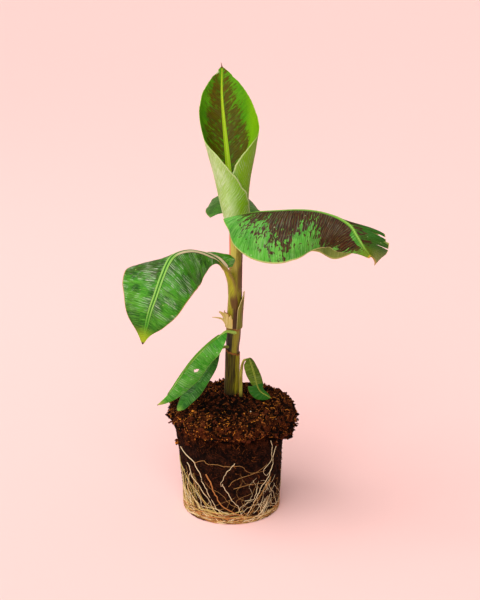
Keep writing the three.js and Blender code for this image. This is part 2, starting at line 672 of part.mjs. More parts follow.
function lowerBlade() {
  const curve = spineCurve(LOWER_LEAF.spine);
  const { station, out, radius } = LOWER_LEAF_HOLE;
  const centre = sheetPoint(LOWER_LEAF, curve, station, out);
  const ahead = sheetPoint(LOWER_LEAF, curve, station + 0.02, out).sub(centre);
  const aside = sheetPoint(LOWER_LEAF, curve, station, out + 0.1).sub(centre);
  const through = ahead.cross(aside).normalize();
  const pin = new THREE.CylinderGeometry(radius, radius, 8, 8);
  pin.applyQuaternion(new THREE.Quaternion().setFromUnitVectors(new THREE.Vector3(0, 1, 0), through));
  pin.translate(centre.x, centre.y, centre.z);
  return solid(blade(LOWER_LEAF, LOWER_BLADE, 16, 5)).subtract(solid(pin));
}

const plant = new THREE.Group();

function add(name, shape, colour) {
  const geometry = shape.isBufferGeometry ? shape : geometryOf(shape);
  geometry.computeVertexNormals();
  const [tint, roughness] = COLOURS[colour];
  const material = new THREE.MeshStandardMaterial({ color: tint, roughness, metalness: 0 });
  const mesh = new THREE.Mesh(geometry, material);
  mesh.name = name;
  plant.add(mesh);
}

const SHOOT_PATH = [[9.6, -5, 112], [9.9, -6.5, 132], [10, -8, 149], [11, -8.4, 159], [12.9, -8.7, 165]];
const shoot = (grow = 0) => solid(stalk(SHOOT_PATH, taper(1.7, 1.3), 8, [-0.5, -0.3, 1], 0.2, grow));
const stemClear = stemBody(GAP);
const SHEATH_ROOM = [[-0.3, 0, 111.5], [0, 0, 122], [1, 0, 151], [1.6, 0, 174]];
const sheathClear = solid(post(SHEATH_ROOM, () => SHEATH_RADIUS + GAP, 20, 5));

// A petiole starts inside the stem and is cut clear of it
function petiole(path, from, to, upper = [0, 0, 1]) {
  return solid(stalk(path, taper(from, to), 6, upper)).subtract(stemClear);
}

add('root_ball', rootBall().subtract(stemClear).subtract(sheathClear).subtract(shoot(GAP)), 'compost');
add('root_net', rootNet(), 'roots');
add('pseudostem', stemBody(), 'stem');
add('outer_sheath', outerSheath().subtract(stemClear), 'stem');
add('cut_petiole', cutPetiole().subtract(stemClear), 'stem');
add('dry_stub', dryStub().subtract(stemClear), 'dry');

const spindle = solid(scroll());
add('spindle_leaf', spindle, 'spindle');

const rightPath = [[8, -4, 286], [9.5, -11, 302], [13, -22.6, 320.2]];
add('right_leaf_petiole', petiole(rightPath, PETIOLE_RADIUS, 1.9), 'petiole');
add('right_leaf_blade', rightBlade(), 'leaf');

const leftPath = [[3.2, -2, 228], [0.8, -5.5, 246], [-4.5, -16, 263.4]];
add('left_leaf_petiole', petiole(leftPath, SHEATH_PETIOLE_RADIUS, 2.4, [-0.4, -0.4, 1]), 'petiole');
const bendGap = 0.007;
const arch = solid(blade(LEFT_LEAF, BIG_BLADE, 10, 6, 0, LEFT_BEND - bendGap));
add('left_leaf_arch', arch.subtract(stemClear), 'leaf');
add('left_leaf_fall', blade(LEFT_LEAF, BIG_BLADE, 12, 6, LEFT_BEND + bendGap, 1), 'leaf');

const backPath = [[5, 4, 288], [6, 12, 300], [6, 28, 307.4]];
add('back_leaf_petiole', petiole(backPath, PETIOLE_RADIUS, 1.9), 'petiole');
add('back_leaf_blade', blade(BACK_LEAF, BIG_BLADE, 14, 5), 'leaf');

const lowerPath = [[4, -5, 194], [1, -9, 196], [-4.9, -15.9, 198.8]];
add('lower_leaf_petiole', petiole(lowerPath, PETIOLE_RADIUS, 1.6), 'petiole');
add('lower_leaf_blade', lowerBlade(), 'leaf');

const underPath = [[-2, -3, 178], [-8, -6, 178.5], [-13, -7.7, 175.9]];
add('under_leaf_petiole', petiole(underPath, 1.8, 1.4), 'petiole');
add('under_leaf_blade', blade(UNDER_LEAF, SMALL_BLADE, 10, 4), 'leaf');

add('small_leaf_stalk', shoot(), 'petiole');
const creaseGap = 0.012;
add('small_leaf_blade', blade(SMALL_LEAF, SMALL_BLADE, 8, 4, 0, SMALL_LEAF_CREASE - creaseGap), 'leaf');
add('small_leaf_tip', blade(SMALL_LEAF, SMALL_BLADE, 5, 4, SMALL_LEAF_CREASE + creaseGap, 1), 'leaf');

export default plant;
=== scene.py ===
# The looks of a young banana plant on its bare root ball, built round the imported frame.
# Shapes are worked out in millimetres by the same rules as the solids, then set in metres.
import math
import random

import bpy
import numpy as np
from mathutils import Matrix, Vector, noise


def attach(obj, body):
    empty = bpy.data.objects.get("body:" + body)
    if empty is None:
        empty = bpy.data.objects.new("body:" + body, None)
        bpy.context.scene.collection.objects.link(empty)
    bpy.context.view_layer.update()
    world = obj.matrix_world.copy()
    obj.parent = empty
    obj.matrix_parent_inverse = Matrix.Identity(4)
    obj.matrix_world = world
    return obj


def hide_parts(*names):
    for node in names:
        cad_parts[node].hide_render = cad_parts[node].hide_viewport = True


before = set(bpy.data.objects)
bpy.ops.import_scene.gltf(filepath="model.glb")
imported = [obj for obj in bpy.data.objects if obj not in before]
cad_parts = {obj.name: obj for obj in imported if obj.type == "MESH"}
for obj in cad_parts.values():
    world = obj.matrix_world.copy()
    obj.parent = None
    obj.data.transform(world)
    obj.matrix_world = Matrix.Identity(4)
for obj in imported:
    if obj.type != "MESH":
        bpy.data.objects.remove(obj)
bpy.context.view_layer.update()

MM = 0.001
DEGREE = math.pi / 180

# Root ball: its radii and heights, the radii and heights of its mound, the slope of its left side,
# the side with the most orange crumbs, the hollow in its top, and the sides and rows of its surface
BALL_FOOT_RADIUS = 50.5
BALL_WAIST_RADIUS = 54.5
COLLAR_RADIUS = 65.5
COLLAR_UNDER = 97
COLLAR_DROP = 19
COLLAR_TOP = 111
MOUND = [(55, 116), (42, 117), (30, 119), (19, 121.5), (10, 123.6), (4, 124)]
SLOPE = 6.5
SLOPED_SIDE = 188 * DEGREE
WARM_SIDE = 235 * DEGREE
# HOLLOW is the centre of the shade painted on the top, round the stem's foot.
HOLLOW = (-7, -19)
BALL_SIDES = 320
BALL_ROWS = 150

# How many crumbs, fibres and roots there are
CRUMBS = 9000
FOOT_CRUMBS = 260
CLUMPS = 46
CLUMP_CRUMBS = 22
FIBRES = 2600
MAT_ROOTS = 460
THIN_ROOTS = 120

# The largest crumb of each kind, the height under which only roots lie, and the shares of a fibre or root
# at which it has a place
LARGEST_CRUMB = (3, 3, 1.1, 0.8, 0.8)
MAT_TOP = 14
QUARTERS = (0, 0.25, 0.5, 0.75, 1)

# Pseudostem: its middle line and its radii, and the heights of its leaf ring, scar, brown patch and painted
# highlight
STEM_AXIS = [[-0.5, 0, 105], [0, 0, 122], [1, 0, 151], [1.5, 0, 171], [3, 0, 206], [4, 0, 227],
             [5, 0, 267], [5, 0, 305.6]]
STEM_RADII = [[0, 6.4], [0.3, 6.5], [0.36, 6.5], [0.41, 7.4], [0.55, 7.2], [0.75, 6.8], [1, 6.6]]
LEAF_RING = 197
SCAR_TOP = 228
BROWN_PATCH = 252
STEM_HIGHLIGHT = 256

# Camera in millimetres, metres and degrees, and the floor's size in metres
LENS = 84
SENSOR_WIDTH = 36
CAMERA_PLACE = (0.0091, -1.349, 0.672)
CAMERA_TILT = 71.75
FLOOR_SIZE = 30

# Blades: thickness, depth of the midrib, least half width, and spacing of the pleats and vein lines
LAMINA = 0.5
RIB_DEPTH = 1.5
NARROWEST = 0.4
BLADE_PLEAT = 2.7
SCROLL_PLEAT = 2.4
VEIN_LINES = 2.3

LEFT_LEAF = {
    "rib": 4.2,
    "spine": [[-5, -17, 265], [-14, -23, 278], [-25, -32, 287], [-38, -45, 294], [-51, -59, 295],
              [-58, -69, 291], [-65, -80, 277], [-71, -88, 261], [-77, -92, 244], [-84, -92, 213]],
    "face": [[0.2, -0.2, 1], [-0.2, -0.3, 1], [-0.4, -0.6, 0.8], [-0.45, -0.9, 0.25], [-0.3, -0.9, 0.2]],
    "left": {
        "width": [[0, 3], [0.08, 5], [0.16, 13], [0.25, 26], [0.35, 37], [0.45, 40], [0.55, 37], [0.65, 32],
                  [0.75, 26.5], [0.85, 17], [0.93, 6], [1, 0.5]],
        "lift": [[0, 0], [0.12, -30], [0.3, -45], [0.45, -38], [0.6, -12], [1, -5]],
        "curl": [[0, -20], [0.3, -25], [0.5, -30], [0.8, -25], [1, -10]],
        "sweep": [[0, 0], [0.2, -18], [0.35, -18], [0.45, 5], [0.55, 28], [0.7, 15], [1, 25]],
    },
    "right": {
        "width": [[0, 8], [0.04, 15], [0.08, 17], [0.12, 19], [0.16, 20], [0.2, 25], [0.25, 33], [0.35, 42],
                  [0.45, 48], [0.55, 49], [0.65, 45], [0.75, 35], [0.85, 24], [0.93, 9.5], [1, 0.5]],
        "lift": [[0, 65], [0.04, 65], [0.08, 52], [0.12, 30], [0.16, 16], [0.2, -4], [0.25, -24], [0.4, -28],
                 [0.5, -12], [0.6, -2], [1, -3]],
        "curl": [[0, -10], [0.3, -25], [0.5, -20], [0.6, -12], [1, -12]],
        "sweep": [[0, -60], [0.12, -60], [0.2, -35], [0.28, -5], [0.5, 0], [0.8, 8], [1, 25]],
    },
}
RIGHT_LEAF = {
    "rib": 3.0,
    "spine": [[14, -26, 324], [25, -37, 329.5], [43, -50, 334.5], [66, -60, 338], [85, -66, 337.5],
              [101, -72, 333.5], [113, -76, 326], [119, -79, 317], [126, -80, 306], [133, -80, 297]],
    "face": [[-0.3, -0.1, 1], [0, 0, 1], [0.2, -0.1, 1], [0.6, -0.5, 0.65], [0.6, -0.55, 0.6]],
    "left": {
        "width": [[0, 24], [0.08, 34], [0.16, 42], [0.25, 50], [0.35, 56], [0.45, 58], [0.55, 62],
                  [0.65, 61], [0.75, 40], [0.85, 32], [0.93, 32], [1, 33]],
        "lift": [[0, -10], [0.3, -30], [0.5, -32], [0.6, -39], [0.69, -14], [0.77, 25], [0.85, 40], [1, -27]],
        "curl": [[0, -40], [0.3, -60], [0.5, -60], [0.7, -40], [1, -20]],
        "sweep": [[0, -40], [0.3, -10], [0.5, 5], [0.6, 27], [0.7, 45], [0.85, 53], [0.93, 46], [1, 42]],
    },
    "right": {
        "width": [[0, 23], [0.08, 31], [0.16, 46], [0.25, 57], [0.35, 59], [0.45, 53], [0.55, 42],
                  [0.65, 35], [0.75, 33], [0.85, 26], [0.93, 10], [1, 3]],
        "lift": [[0, 14], [0.08, 5], [0.25, -18], [0.5, -28], [0.75, -45], [1, -45]],
        "curl": [[0, -10], [0.08, -45], [0.3, -60], [0.6, -55], [1, -35]],
        "sweep": [[0, -60], [0.12, -35], [0.25, -15], [0.5, 0], [0.72, -6], [0.76, -8], [0.79, 12],
                  [0.85, 14], [1, 20]],
    },
}
BACK_LEAF = {
    "rib": 2.4,
    "spine": [[6, 30, 308], [5, 60, 313], [4, 90, 313], [4, 110, 310], [3, 140, 296], [2, 165, 276]],
    "face": [[0, -0.1, 1], [0, 0, 1], [0, 0.5, 1], [0, 1, 0.6]],
    "left": {
        "width": [[0, 31], [0.15, 34], [0.4, 28], [0.6, 24], [0.8, 18], [0.93, 10], [1, 0.5]],
        "lift": [[0, 35], [0.3, 15], [0.5, 12], [1, 0]],
        "curl": [[0, -60], [1, -40]],
        "sweep": [[0, -20], [0.5, 5], [1, 20]],
    },
    "right": {
        "width": [[0, 22], [0.15, 27], [0.4, 23], [0.6, 19], [0.8, 14], [0.93, 8], [1, 0.5]],
        "lift": [[0, 25], [0.3, 2], [1, -10]],
        "curl": [[0, -50], [1, -40]],
        "sweep": [[0, -20], [0.5, 5], [1, 20]],
    },
}
LOWER_LEAF = {
    "rib": 1.5,
    "spine": [[-6, -17, 199], [-12, -23, 197], [-22, -28, 191], [-37, -32, 177], [-50, -32, 159],
              [-64, -28, 136], [-76, -22, 121]],
    "face": [[-0.2, -0.4, 1], [-0.2, -0.9, 0.6], [-0.3, -1, 0.3], [-0.3, -1, 0.2]],
    "left": {
        "width": [[0, 3], [0.08, 10], [0.16, 15], [0.25, 17], [0.35, 19], [0.45, 21], [0.55, 21], [0.65, 18],
                  [0.75, 14], [0.85, 9], [0.93, 5], [1, 0.5]],
        "lift": [[0, -10], [0.3, -25], [1, -10]],
        "curl": [[0, -20], [0.5, -40], [1, -30]],
        "sweep": [[0, 0], [0.6, 5], [1, 20]],
    },
    "right": {
        "width": [[0, 3], [0.12, 10], [0.35, 17], [0.6, 18], [0.8, 12], [0.93, 6], [1, 0.5]],
        "lift": [[0, -50], [0.3, -110], [1, -100]],
        "curl": [[0, -20], [0.5, -40], [1, -30]],
        "sweep": [[0, 0], [0.6, 5], [1, 20]],
    },
}
LOWER_LEAF_HOLE = {"station": 0.47, "out": 0.5, "radius": 2.2, "axis": [0, 0.95, -0.31]}
UNDER_LEAF = {
    "rib": 1.2,
    "spine": [[-14, -8, 174], [-19.6, -10, 160], [-29, -15, 146], [-36, -20, 137], [-44, -25, 130],
              [-55, -32, 119]],
    "face": [[-0.2, -0.6, 0.8], [-0.3, -0.9, 0.5], [-0.3, -0.9, 0.6], [-0.4, -0.6, 0.8]],
    "left": {
        "width": [[0, 3], [0.2, 5.5], [0.45, 6.5], [0.7, 7], [0.9, 5], [1, 0.5]],
        "lift": [[0, -10], [1, -10]],
        "curl": [[0, -20], [1, -30]],
        "sweep": [[0, 0], [1, 20]],
    },
    "right": {
        "width": [[0, 4], [0.2, 10], [0.45, 13], [0.7, 12], [0.9, 7], [1, 0.5]],
        "lift": [[0, -10], [1, -10]],
        "curl": [[0, -20], [1, -30]],
        "sweep": [[0, 0], [1, 20]],
    },
}
SMALL_LEAF = {
    "rib": 1.6,
    "spine": [[15, -9, 167], [18.5, -10.5, 167.5], [22, -11.5, 157.6], [24.5, -12, 147.7], [26.5, -12, 139],
              [30.5, -10.5, 131.5], [35.8, -9, 127], [40.5, -8, 123.5]],
    "face": [[0, 0, 1], [0.3, -0.8, 0.5], [0.2, -1, 0.2], [0.2, -0.9, 0.4], [0.2, -0.9, 0.4]],
    "left": {
        "width": [[0, 1.5], [0.12, 4], [0.35, 6.5], [0.55, 7.5], [0.64, 7], [0.75, 4.5], [0.85, 3.5],
                  [0.93, 2.5], [1, 0.5]],
        "lift": [[0, 0], [1, 0]],
        "curl": [[0, -20], [1, -20]],
        "sweep": [[0, 0], [1, 20]],
    },
    "right": {
        "width": [[0, 1.5], [0.12, 7.5], [0.3, 8.5], [0.45, 7], [0.55, 5.5], [0.6, 4.5], [0.68, 11.5],
                  [0.8, 9.5], [0.93, 4.5], [1, 0.5]],
        "lift": [[0, 0], [1, 0]],
        "curl": [[0, -20], [1, -20]],
        "sweep": [[0, 0], [0.58, 0], [0.66, -40], [0.8, -15], [1, 20]],
    },
}

# The unfurling leaf is a scroll, keyed by height
SCROLL_FOOT = 306
SCROLL_TIP = 459
SCROLL_MIDRIB = 105
SCROLL_STEP = 3.6
SPINDLE_NOTCH = 453.5
SCROLL = {
    "x": [[306, 2.7], [342, -0.8], [372, -3.6], [402, -6.6], [432, -8.9], [459, -8.6]],
    "y": [[306, 8.7], [342, 15], [372, 21], [402, 26.8], [432, 30], [459, 30]],
    "radius": [[306, 9], [328, 13.5], [354, 17.6], [384, 24.2], [410, 29], [432, 30], [459, 32]],
    "left": [[306, 255], [328, 229], [354, 183], [372, 147], [384, 122], [394, 88], [402, 78], [410, 76],
             [432, 48], [447, 22], [455, 9], [459, 0.8]],
    "right": [[306, 238], [328, 226], [354, 206], [372, 186], [384, 163], [394, 136], [402, 104], [410, 84],
              [432, 53], [447, 25], [455, 10], [459, 0.8]],
}


# Rules shared by all the shapes

def along(keys, s):
    """Smooth value at s through [station, value] pairs; s is a number or an array."""
    at = np.array([key[0] for key in keys], float)
    value = np.array([key[1] for key in keys], float)
    last = len(keys) - 1
    before = np.maximum(np.arange(last + 1) - 1, 0)
    after = np.minimum(np.arange(last + 1) + 1, last)
    slope = (value[after] - value[before]) / (at[after] - at[before])
    i = np.clip(np.searchsorted(at[1:-1], s, side="left"), 0, last - 1)
    span = at[i + 1] - at[i]
    u = (s - at[i]) / span
    square = u * u
    cube = square * u
    return ((2 * cube - 3 * square + 1) * value[i] + (cube - 2 * square + u) * span * slope[i]
            + (3 * square - 2 * cube) * value[i + 1] + (cube - square) * span * slope[i + 1])


def curve_through(points):
    """Smooth curve through points, as a function of the share of the run, and its length."""
    points = np.array(points, float)
    steps = np.linalg.norm(np.diff(points, axis=0), axis=1)
    runs = np.concatenate([[0], np.cumsum(steps)])
    keys = [np.stack([runs / runs[-1], points[:, axis]], axis=1) for axis in range(3)]
    return (lambda s: np.stack([along(key, s) for key in keys], axis=-1)), runs[-1]


def unit(vectors):
    return vectors / np.maximum(np.linalg.norm(vectors, axis=-1, keepdims=True), 1e-9)


def sheet_points(leaf, s, v):
    """The blade's sheet at stations s and shares v, from -1 at one margin to 1 at the other."""
    curve, _ = curve_through(leaf["spine"])
    step = 0.01
    forward = unit(curve(np.minimum(s + step, 1)) - curve(np.maximum(s - step, 0)))
    count = len(leaf["face"]) - 1
    face = np.stack([along([[i / count, p[axis]] for i, p in enumerate(leaf["face"])], s)
                     for axis in range(3)], axis=-1)
    face = unit(face - forward * np.sum(face * forward, axis=-1, keepdims=True))
    right = v < 0
    side = np.cross(face, forward) * np.where(right, -1.0, 1.0)[..., None]

    def half(name):
        return np.where(right, along(leaf["right"][name], s), along(leaf["left"][name], s))

    width = np.maximum(half("width"), NARROWEST)
    lift = half("lift") * DEGREE
    turn = half("curl") * DEGREE
    curl = np.where(np.abs(turn) < 0.001, 0.001, turn)
    sweep = half("sweep") * DEGREE
    angle = lift + curl * np.abs(v)
    out = (np.sin(angle) - np.sin(lift)) * width / curl
    rise = (np.cos(lift) - np.cos(angle)) * width / curl
    return (curve(s) + side * (out * np.cos(sweep))[..., None] + forward * (out * np.sin(sweep))[..., None]
            + face * rise[..., None])


def scroll_points(height, v):
    """The scroll's sheet at heights and shares from -1, the inner margin, to 1, the outer one."""
    radius = along(SCROLL["radius"], height)
    middle = SCROLL_MIDRIB * DEGREE
    centre_x = along(SCROLL["x"], height) - radius * math.cos(middle)
    centre_y = along(SCROLL["y"], height) - radius * math.sin(middle)
    reach = np.where(v < 0, along(SCROLL["right"], height), along(SCROLL["left"], height)) * v
    angle = middle + reach * DEGREE
    size = radius + SCROLL_STEP * reach / 360
    return np.stack([centre_x + size * np.cos(angle), centre_y + size * np.sin(angle), height], axis=-1)


# Meshes

def make_piece(name, points, faces, materials, face_material=None, smooth=True, marks=None):
    """A mesh piece from points in millimetres, with marks as named values of its points."""
    mesh = bpy.data.meshes.new(name)
    mesh.from_pydata((np.asarray(points) * MM).tolist(), [], [list(face) for face in faces])
    for material in materials:
        mesh.materials.append(material)
    if face_material is not None:
        mesh.polygons.foreach_set("material_index", np.asarray(face_material, np.int32))
    mesh.polygons.foreach_set("use_smooth", np.full(len(mesh.polygons), smooth))
    for mark, values in (marks or {}).items():
        attribute = mesh.attributes.new(mark, "FLOAT", "POINT")
        attribute.data.foreach_set("value", np.asarray(values, np.float32))
    mesh.validate()
    mesh.update()
    piece = bpy.data.objects.new(name, mesh)
    bpy.context.scene.collection.objects.link(piece)
    return piece


def dress(piece, slot, *nodes):
    """The piece rides on the plant and stands for the named solids."""
    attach(piece, "root")
    if nodes:
        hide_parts(*nodes)


def pit(distance, width):
    return np.exp(-(distance / width) ** 2)


def point_normals(points, quads):
    """Smooth normals at the points of a sheet."""
    corners = points[quads]
    each = np.cross(corners[:, 2] - corners[:, 0], corners[:, 3] - corners[:, 1])
    normals = np.zeros_like(points)
    for corner in range(4):
        np.add.at(normals, quads[:, corner], each)
    return unit(normals)


def grid_quads(index):
    """Quads of a sheet whose points are numbered in rows and columns."""
    return np.stack([index[:-1, :-1], index[1:, :-1], index[1:, 1:], index[:-1, 1:]], axis=-1).reshape(-1, 4)


def ring_quads(rings, sides):
    """Quads between rings of points that follow one another."""
    ring, side = np.meshgrid(np.arange(rings - 1), np.arange(sides), indexing="ij")
    first = ring * sides + side
    second = ring * sides + (side + 1) % sides
    return np.stack([first, second, second + sides, first + sides], axis=-1).reshape(-1, 4)


def closed_rings(rings, sides):
    """Faces of a closed body of rings: its sides and its two ends."""
    ends = [list(range(sides))[::-1], list(range((rings - 1) * sides, rings * sides))]
    return ring_quads(rings, sides).tolist() + ends


def ring_points(centre, size, angle, height):
    """Points at angles and heights, a size away from a centre."""
    x = centre[..., 0] + size * np.cos(angle)
    y = centre[..., 1] + size * np.sin(angle)
    return np.stack([x, y, height], axis=-1).reshape(-1, 3)


def thicken(points, quads, depth, marks):
    """A closed body from a sheet: the sheet on top, a copy below and its rim, with marks for both."""
    under = points - point_normals(points, quads) * depth[:, None]
    count = len(points)
    edges = {}
    for face in quads.tolist():
        for a, b in zip(face, face[1:] + face[:1]):
            if (b, a) in edges:
                del edges[(b, a)]
            else:
                edges[(a, b)] = True
    rim = [(b, a, a + count, b + count) for a, b in edges]
    below = quads[:, ::-1] + count
    faces = quads.tolist() + below.tolist() + rim
    face_material = [0] * len(quads) + [1] * len(below) + [0] * len(rim)
    both = {mark: np.concatenate([values, values]) for mark, values in marks.items()}
    return np.vstack([points, under]), faces, face_material, both


def share_grid(widths_right, widths_left, rib_half, columns):
    """Shares across a blade, close together over the midrib and even out to the margins."""
    near = 7
    shares = []
    for widths, sign in ((widths_right, -1), (widths_left, 1)):
        inner = np.minimum(rib_half / widths, 0.45)
        steps = []
        for k in range(1, columns + 1):
            if k <= near:
                steps.append(inner * k / near)
            else:
                steps.append(inner + (1 - inner) * (k - near) / (columns - near))
        shares.append([sign * step for step in steps])
    middle = [np.zeros_like(widths_left)]
    return np.stack(shares[0][::-1] + middle + shares[1], axis=1)


def midrib(band, deep, high):
    """Height of the midrib's groove and of its two edges, by the share of the rib's width."""
    return high * pit(band - 0.75, 0.25) - deep * pit(band, 0.35)


def blade_sheet(leaf, rows, columns, tears, wave, seed):
    """Grid of a blade with its groove, ripples and tears: points, quads, marks and the midrib's size."""
    stations = np.linspace(0, 1, rows + 1)
    tear_rows = []
    for tear in tears:
        place = np.searchsorted(stations, tear["station"])
        stations = np.insert(stations, place, [tear["station"], tear["station"]])
        tear_rows = [row + 2 if row >= place else row for row in tear_rows] + [place]
    left = np.maximum(along(leaf["left"]["width"], stations), NARROWEST)
    right = np.maximum(along(leaf["right"]["width"], stations), NARROWEST)
    v = share_grid(right, left, leaf["rib"], columns)
    s = np.repeat(stations[:, None], v.shape[1], axis=1)
    for tear, row in zip(tears, tear_rows):
        out = v[row] * tear["side"]
        depth = np.clip((out - tear["from"]) / (1 - tear["from"]), 0, 1)
        gap = tear["gap"] * depth ** 0.8 * (out > 0)
        s[:row + 1] = np.minimum(s[:row + 1], tear["station"] - gap)
        s[row + 1:] = np.maximum(s[row + 1:], tear["station"] + gap)
    points = sheet_points(leaf, s, v)
    _, length = curve_through(leaf["spine"])
    width = np.where(v < 0, right[:, None], left[:, None])
    rib = v * width
    index = np.arange(v.size).reshape(v.shape)
    for row in tear_rows:
        shut = np.isclose(s[row], s[row + 1])
        index[row + 1, shut] = index[row, shut]
    whole_rows = [row for row in range(len(v) - 1) if row not in tear_rows]
    quads = grid_quads(index).reshape(len(v) - 1, -1, 4)[whole_rows].reshape(-1, 4)
    normals = point_normals(points.reshape(-1, 3), quads).reshape(points.shape)
    vein = s * length
    edge = np.abs(v)
    fold = np.array([[noise.noise((a * 0.06 + seed, 3 * b, 0)) for a, b in zip(row_a, row_b)]
                     for row_a, row_b in zip(vein, edge)])
    ripple = wave * edge ** 2 * np.minimum(width / 20, 1) * fold
    pleat = 0.07 * np.sin(vein * 2 * math.pi / BLADE_PLEAT) * np.minimum(edge * 3, 1) * (1 - 0.5 * edge)
    size = np.clip((1 - 0.6 * s) * width / 12, 0, 1 - 0.6 * s)
    band = np.abs(rib) / (leaf["rib"] * np.maximum(size, 0.25))
    points = points + normals * (ripple + pleat + midrib(band, 0.75, 0.35) * size)[..., None]
    return points, quads, {"station": s, "share": v, "rib": rib, "vein": vein, "band": band}, size


def pierce(points, quads, leaf, hole):
    """Cuts an uneven hole through the sheet, and sets the points round it on its rim."""
    centre = sheet_points(leaf, np.array([hole["station"]]), np.array([hole["out"]]))[0]
    axis = unit(np.array(hole["axis"]))
    deep = (points - centre) @ axis
    away = points - centre - deep[:, None] * axis
    reach = np.linalg.norm(away, axis=1)
    bearing = np.arctan2(away[:, 2], away[:, 0])
    radius = hole["radius"] * (1 + 0.3 * np.sin(2 * bearing + 1) + 0.15 * np.sin(5 * bearing))
    inside = reach < radius
    shift = np.where(inside, radius / np.maximum(reach, 0.2), 1)
    return centre + away * shift[:, None] + deep[:, None] * axis, quads[~inside[quads].all(axis=1)]


def blade_piece(name, leaf, materials, rows, columns, wave, seed, tears, hole, zones):
    """A blade as a thin closed body that is thicker under its midrib."""
    points, quads, marks, size = blade_sheet(leaf, rows, columns, tears, wave, seed)
    depth = LAMINA + RIB_DEPTH * size * np.clip(1 - (marks["rib"] / (leaf["rib"] + 0.4)) ** 2, 0, 1) ** 0.7
    if zones:
        marks.update(zones(marks))
    points = points.reshape(-1, 3)
    if hole:
        points, quads = pierce(points, quads, leaf, hole)
    used = np.unique(quads)
    renumber = np.full(len(points), -1)
    renumber[used] = np.arange(len(used))
    marks = {mark: values.reshape(-1)[used] for mark, values in marks.items()}
    body, faces, side, marks = thicken(points[used], renumber[quads], depth.reshape(-1)[used], marks)
    return make_piece(name, body, faces, materials, side, True, marks)


def tube(points, radii, sides, squash=1.0, up=(0, 0, 1)):
    """Points and faces of a closed round tube along points, with a radius for each."""
    points = np.asarray(points, float)
    tangent = unit(np.gradient(points, axis=0))
    up = np.asarray(up, float)
    normal = up - tangent * (tangent @ up)[:, None]
    weak = np.linalg.norm(normal, axis=1) < 0.05
    normal[weak] = np.cross(tangent[weak], (1.0, 0.3, 0.0))
    normal = unit(normal)
    side = np.cross(normal, tangent)
    angles = np.arange(sides) * 2 * math.pi / sides
    radii = np.broadcast_to(np.asarray(radii, float), (len(points),))
    rings = (points[:, None] + side[:, None] * (np.cos(angles)[None, :, None] * radii[:, None, None])
             + normal[:, None] * (np.sin(angles)[None, :, None] * radii[:, None, None] * squash))
    return rings.reshape(-1, 3), closed_rings(len(points), sides)


class Heap:
    """Many small shapes gathered into one mesh."""

    def __init__(self):
        self.points = []
        self.faces = []
        self.kinds = []
        self.count = 0

    def add(self, points, faces, kind):
        self.faces += [[index + self.count for index in face] for face in faces]
        self.kinds += [kind] * len(faces)
        self.points.append(points)
        self.count += len(points)

    def piece(self, name, materials, smooth=True):
        return make_piece(name, np.vstack(self.points), self.faces, materials, self.kinds, smooth)


# Materials

def linear(code):
    """Scene colour of a six-figure screen colour."""
    parts = [int(code[i:i + 2], 16) / 255 for i in (0, 2, 4)]
    return [p / 12.92 if p <= 0.04045 else ((p + 0.055) / 1.055) ** 2.4 for p in parts] + [1.0]


class Shader:
    """A node material with a colour that is painted over, and short calls for the nodes that it needs."""

    def __init__(self, name, roughness, specular, coat=0.0):
        self.material = bpy.data.materials.new(name)
        self.material.use_nodes = True
        self.nodes = self.material.node_tree.nodes
        self.links = self.material.node_tree.links
        self.surface = self.nodes["Principled BSDF"]
        self.surface.inputs["Roughness"].default_value = roughness
        self.surface.inputs["Specular IOR Level"].default_value = specular
        self.surface.inputs["Coat Weight"].default_value = coat
        self.surface.inputs["Coat Roughness"].default_value = 0.35
        self.colour = None

    def put(self, socket, value):
        """Fills a socket with another node's output, a number or a screen colour."""
        if isinstance(value, bpy.types.NodeSocket):
            self.links.new(value, socket)
        else:
            socket.default_value = linear(value) if isinstance(value, str) else value

    def node(self, kind, *values):
        """A new node with its first sockets filled."""
        node = self.nodes.new("ShaderNode" + kind)
        for socket, value in zip(node.inputs, values):
            self.put(socket, value)
        return node

    def mark(self, name):
        node = self.node("Attribute")
        node.attribute_name = name
        return node.outputs["Fac"]

    def math(self, operation, first, second=0.0):
        node = self.node("Math", first, second)
        node.operation = operation
        return node.outputs[0]

    def plus(self, first, second):
        return self.math("ADD", first, second)

    def minus(self, first, second):
        return self.math("SUBTRACT", first, second)

    def times(self, first, second):
        return self.math("MULTIPLY", first, second)

    def size(self, value):
        return self.math("ABSOLUTE", value)

    def span(self, value, low, high, start=0.0, end=1.0):
        """Value from low to high becomes start to end, held there."""
        node = self.node("MapRange", value, low, high, start, end)
        node.interpolation_type = "SMOOTHSTEP"
        return node.outputs[0]

    def vector(self, x, y):
        return self.node("CombineXYZ", x, y).outputs[0]

    def noise(self, vector, scale, detail, roughness=0.55, distortion=0.0):
        node = self.node("TexNoise", vector)
        node.inputs["Scale"].default_value = scale
        node.inputs["Detail"].default_value = detail
        node.inputs["Roughness"].default_value = roughness
        node.inputs["Distortion"].default_value = distortion
        return node.outputs["Fac"]

    def cells(self, vector, scale):
        node = self.node("TexVoronoi", vector)
        node.inputs["Scale"].default_value = scale
        return node.outputs["Distance"]

    def mix(self, share, first, second):
        node = self.nodes.new("ShaderNodeMix")
        node.data_type = "RGBA"
        for number, value in ((0, share), (6, first), (7, second)):
            self.put(node.inputs[number], value)
        return node.outputs[2]

    def paint(self, share, tone):
        """Covers the colour so far with another one, by a share."""
        self.colour = self.mix(share, self.colour, tone)

    def bump(self, height, distance):
        node = self.nodes.new("ShaderNodeBump")
        node.inputs["Distance"].default_value = distance
        self.put(node.inputs["Height"], height)
        self.put(self.surface.inputs["Normal"], node.outputs["Normal"])

    def finish(self, roughness=None):
        self.put(self.surface.inputs["Base Color"], self.colour)
        if roughness is not None:
            self.put(self.surface.inputs["Roughness"], roughness)
        return self.material


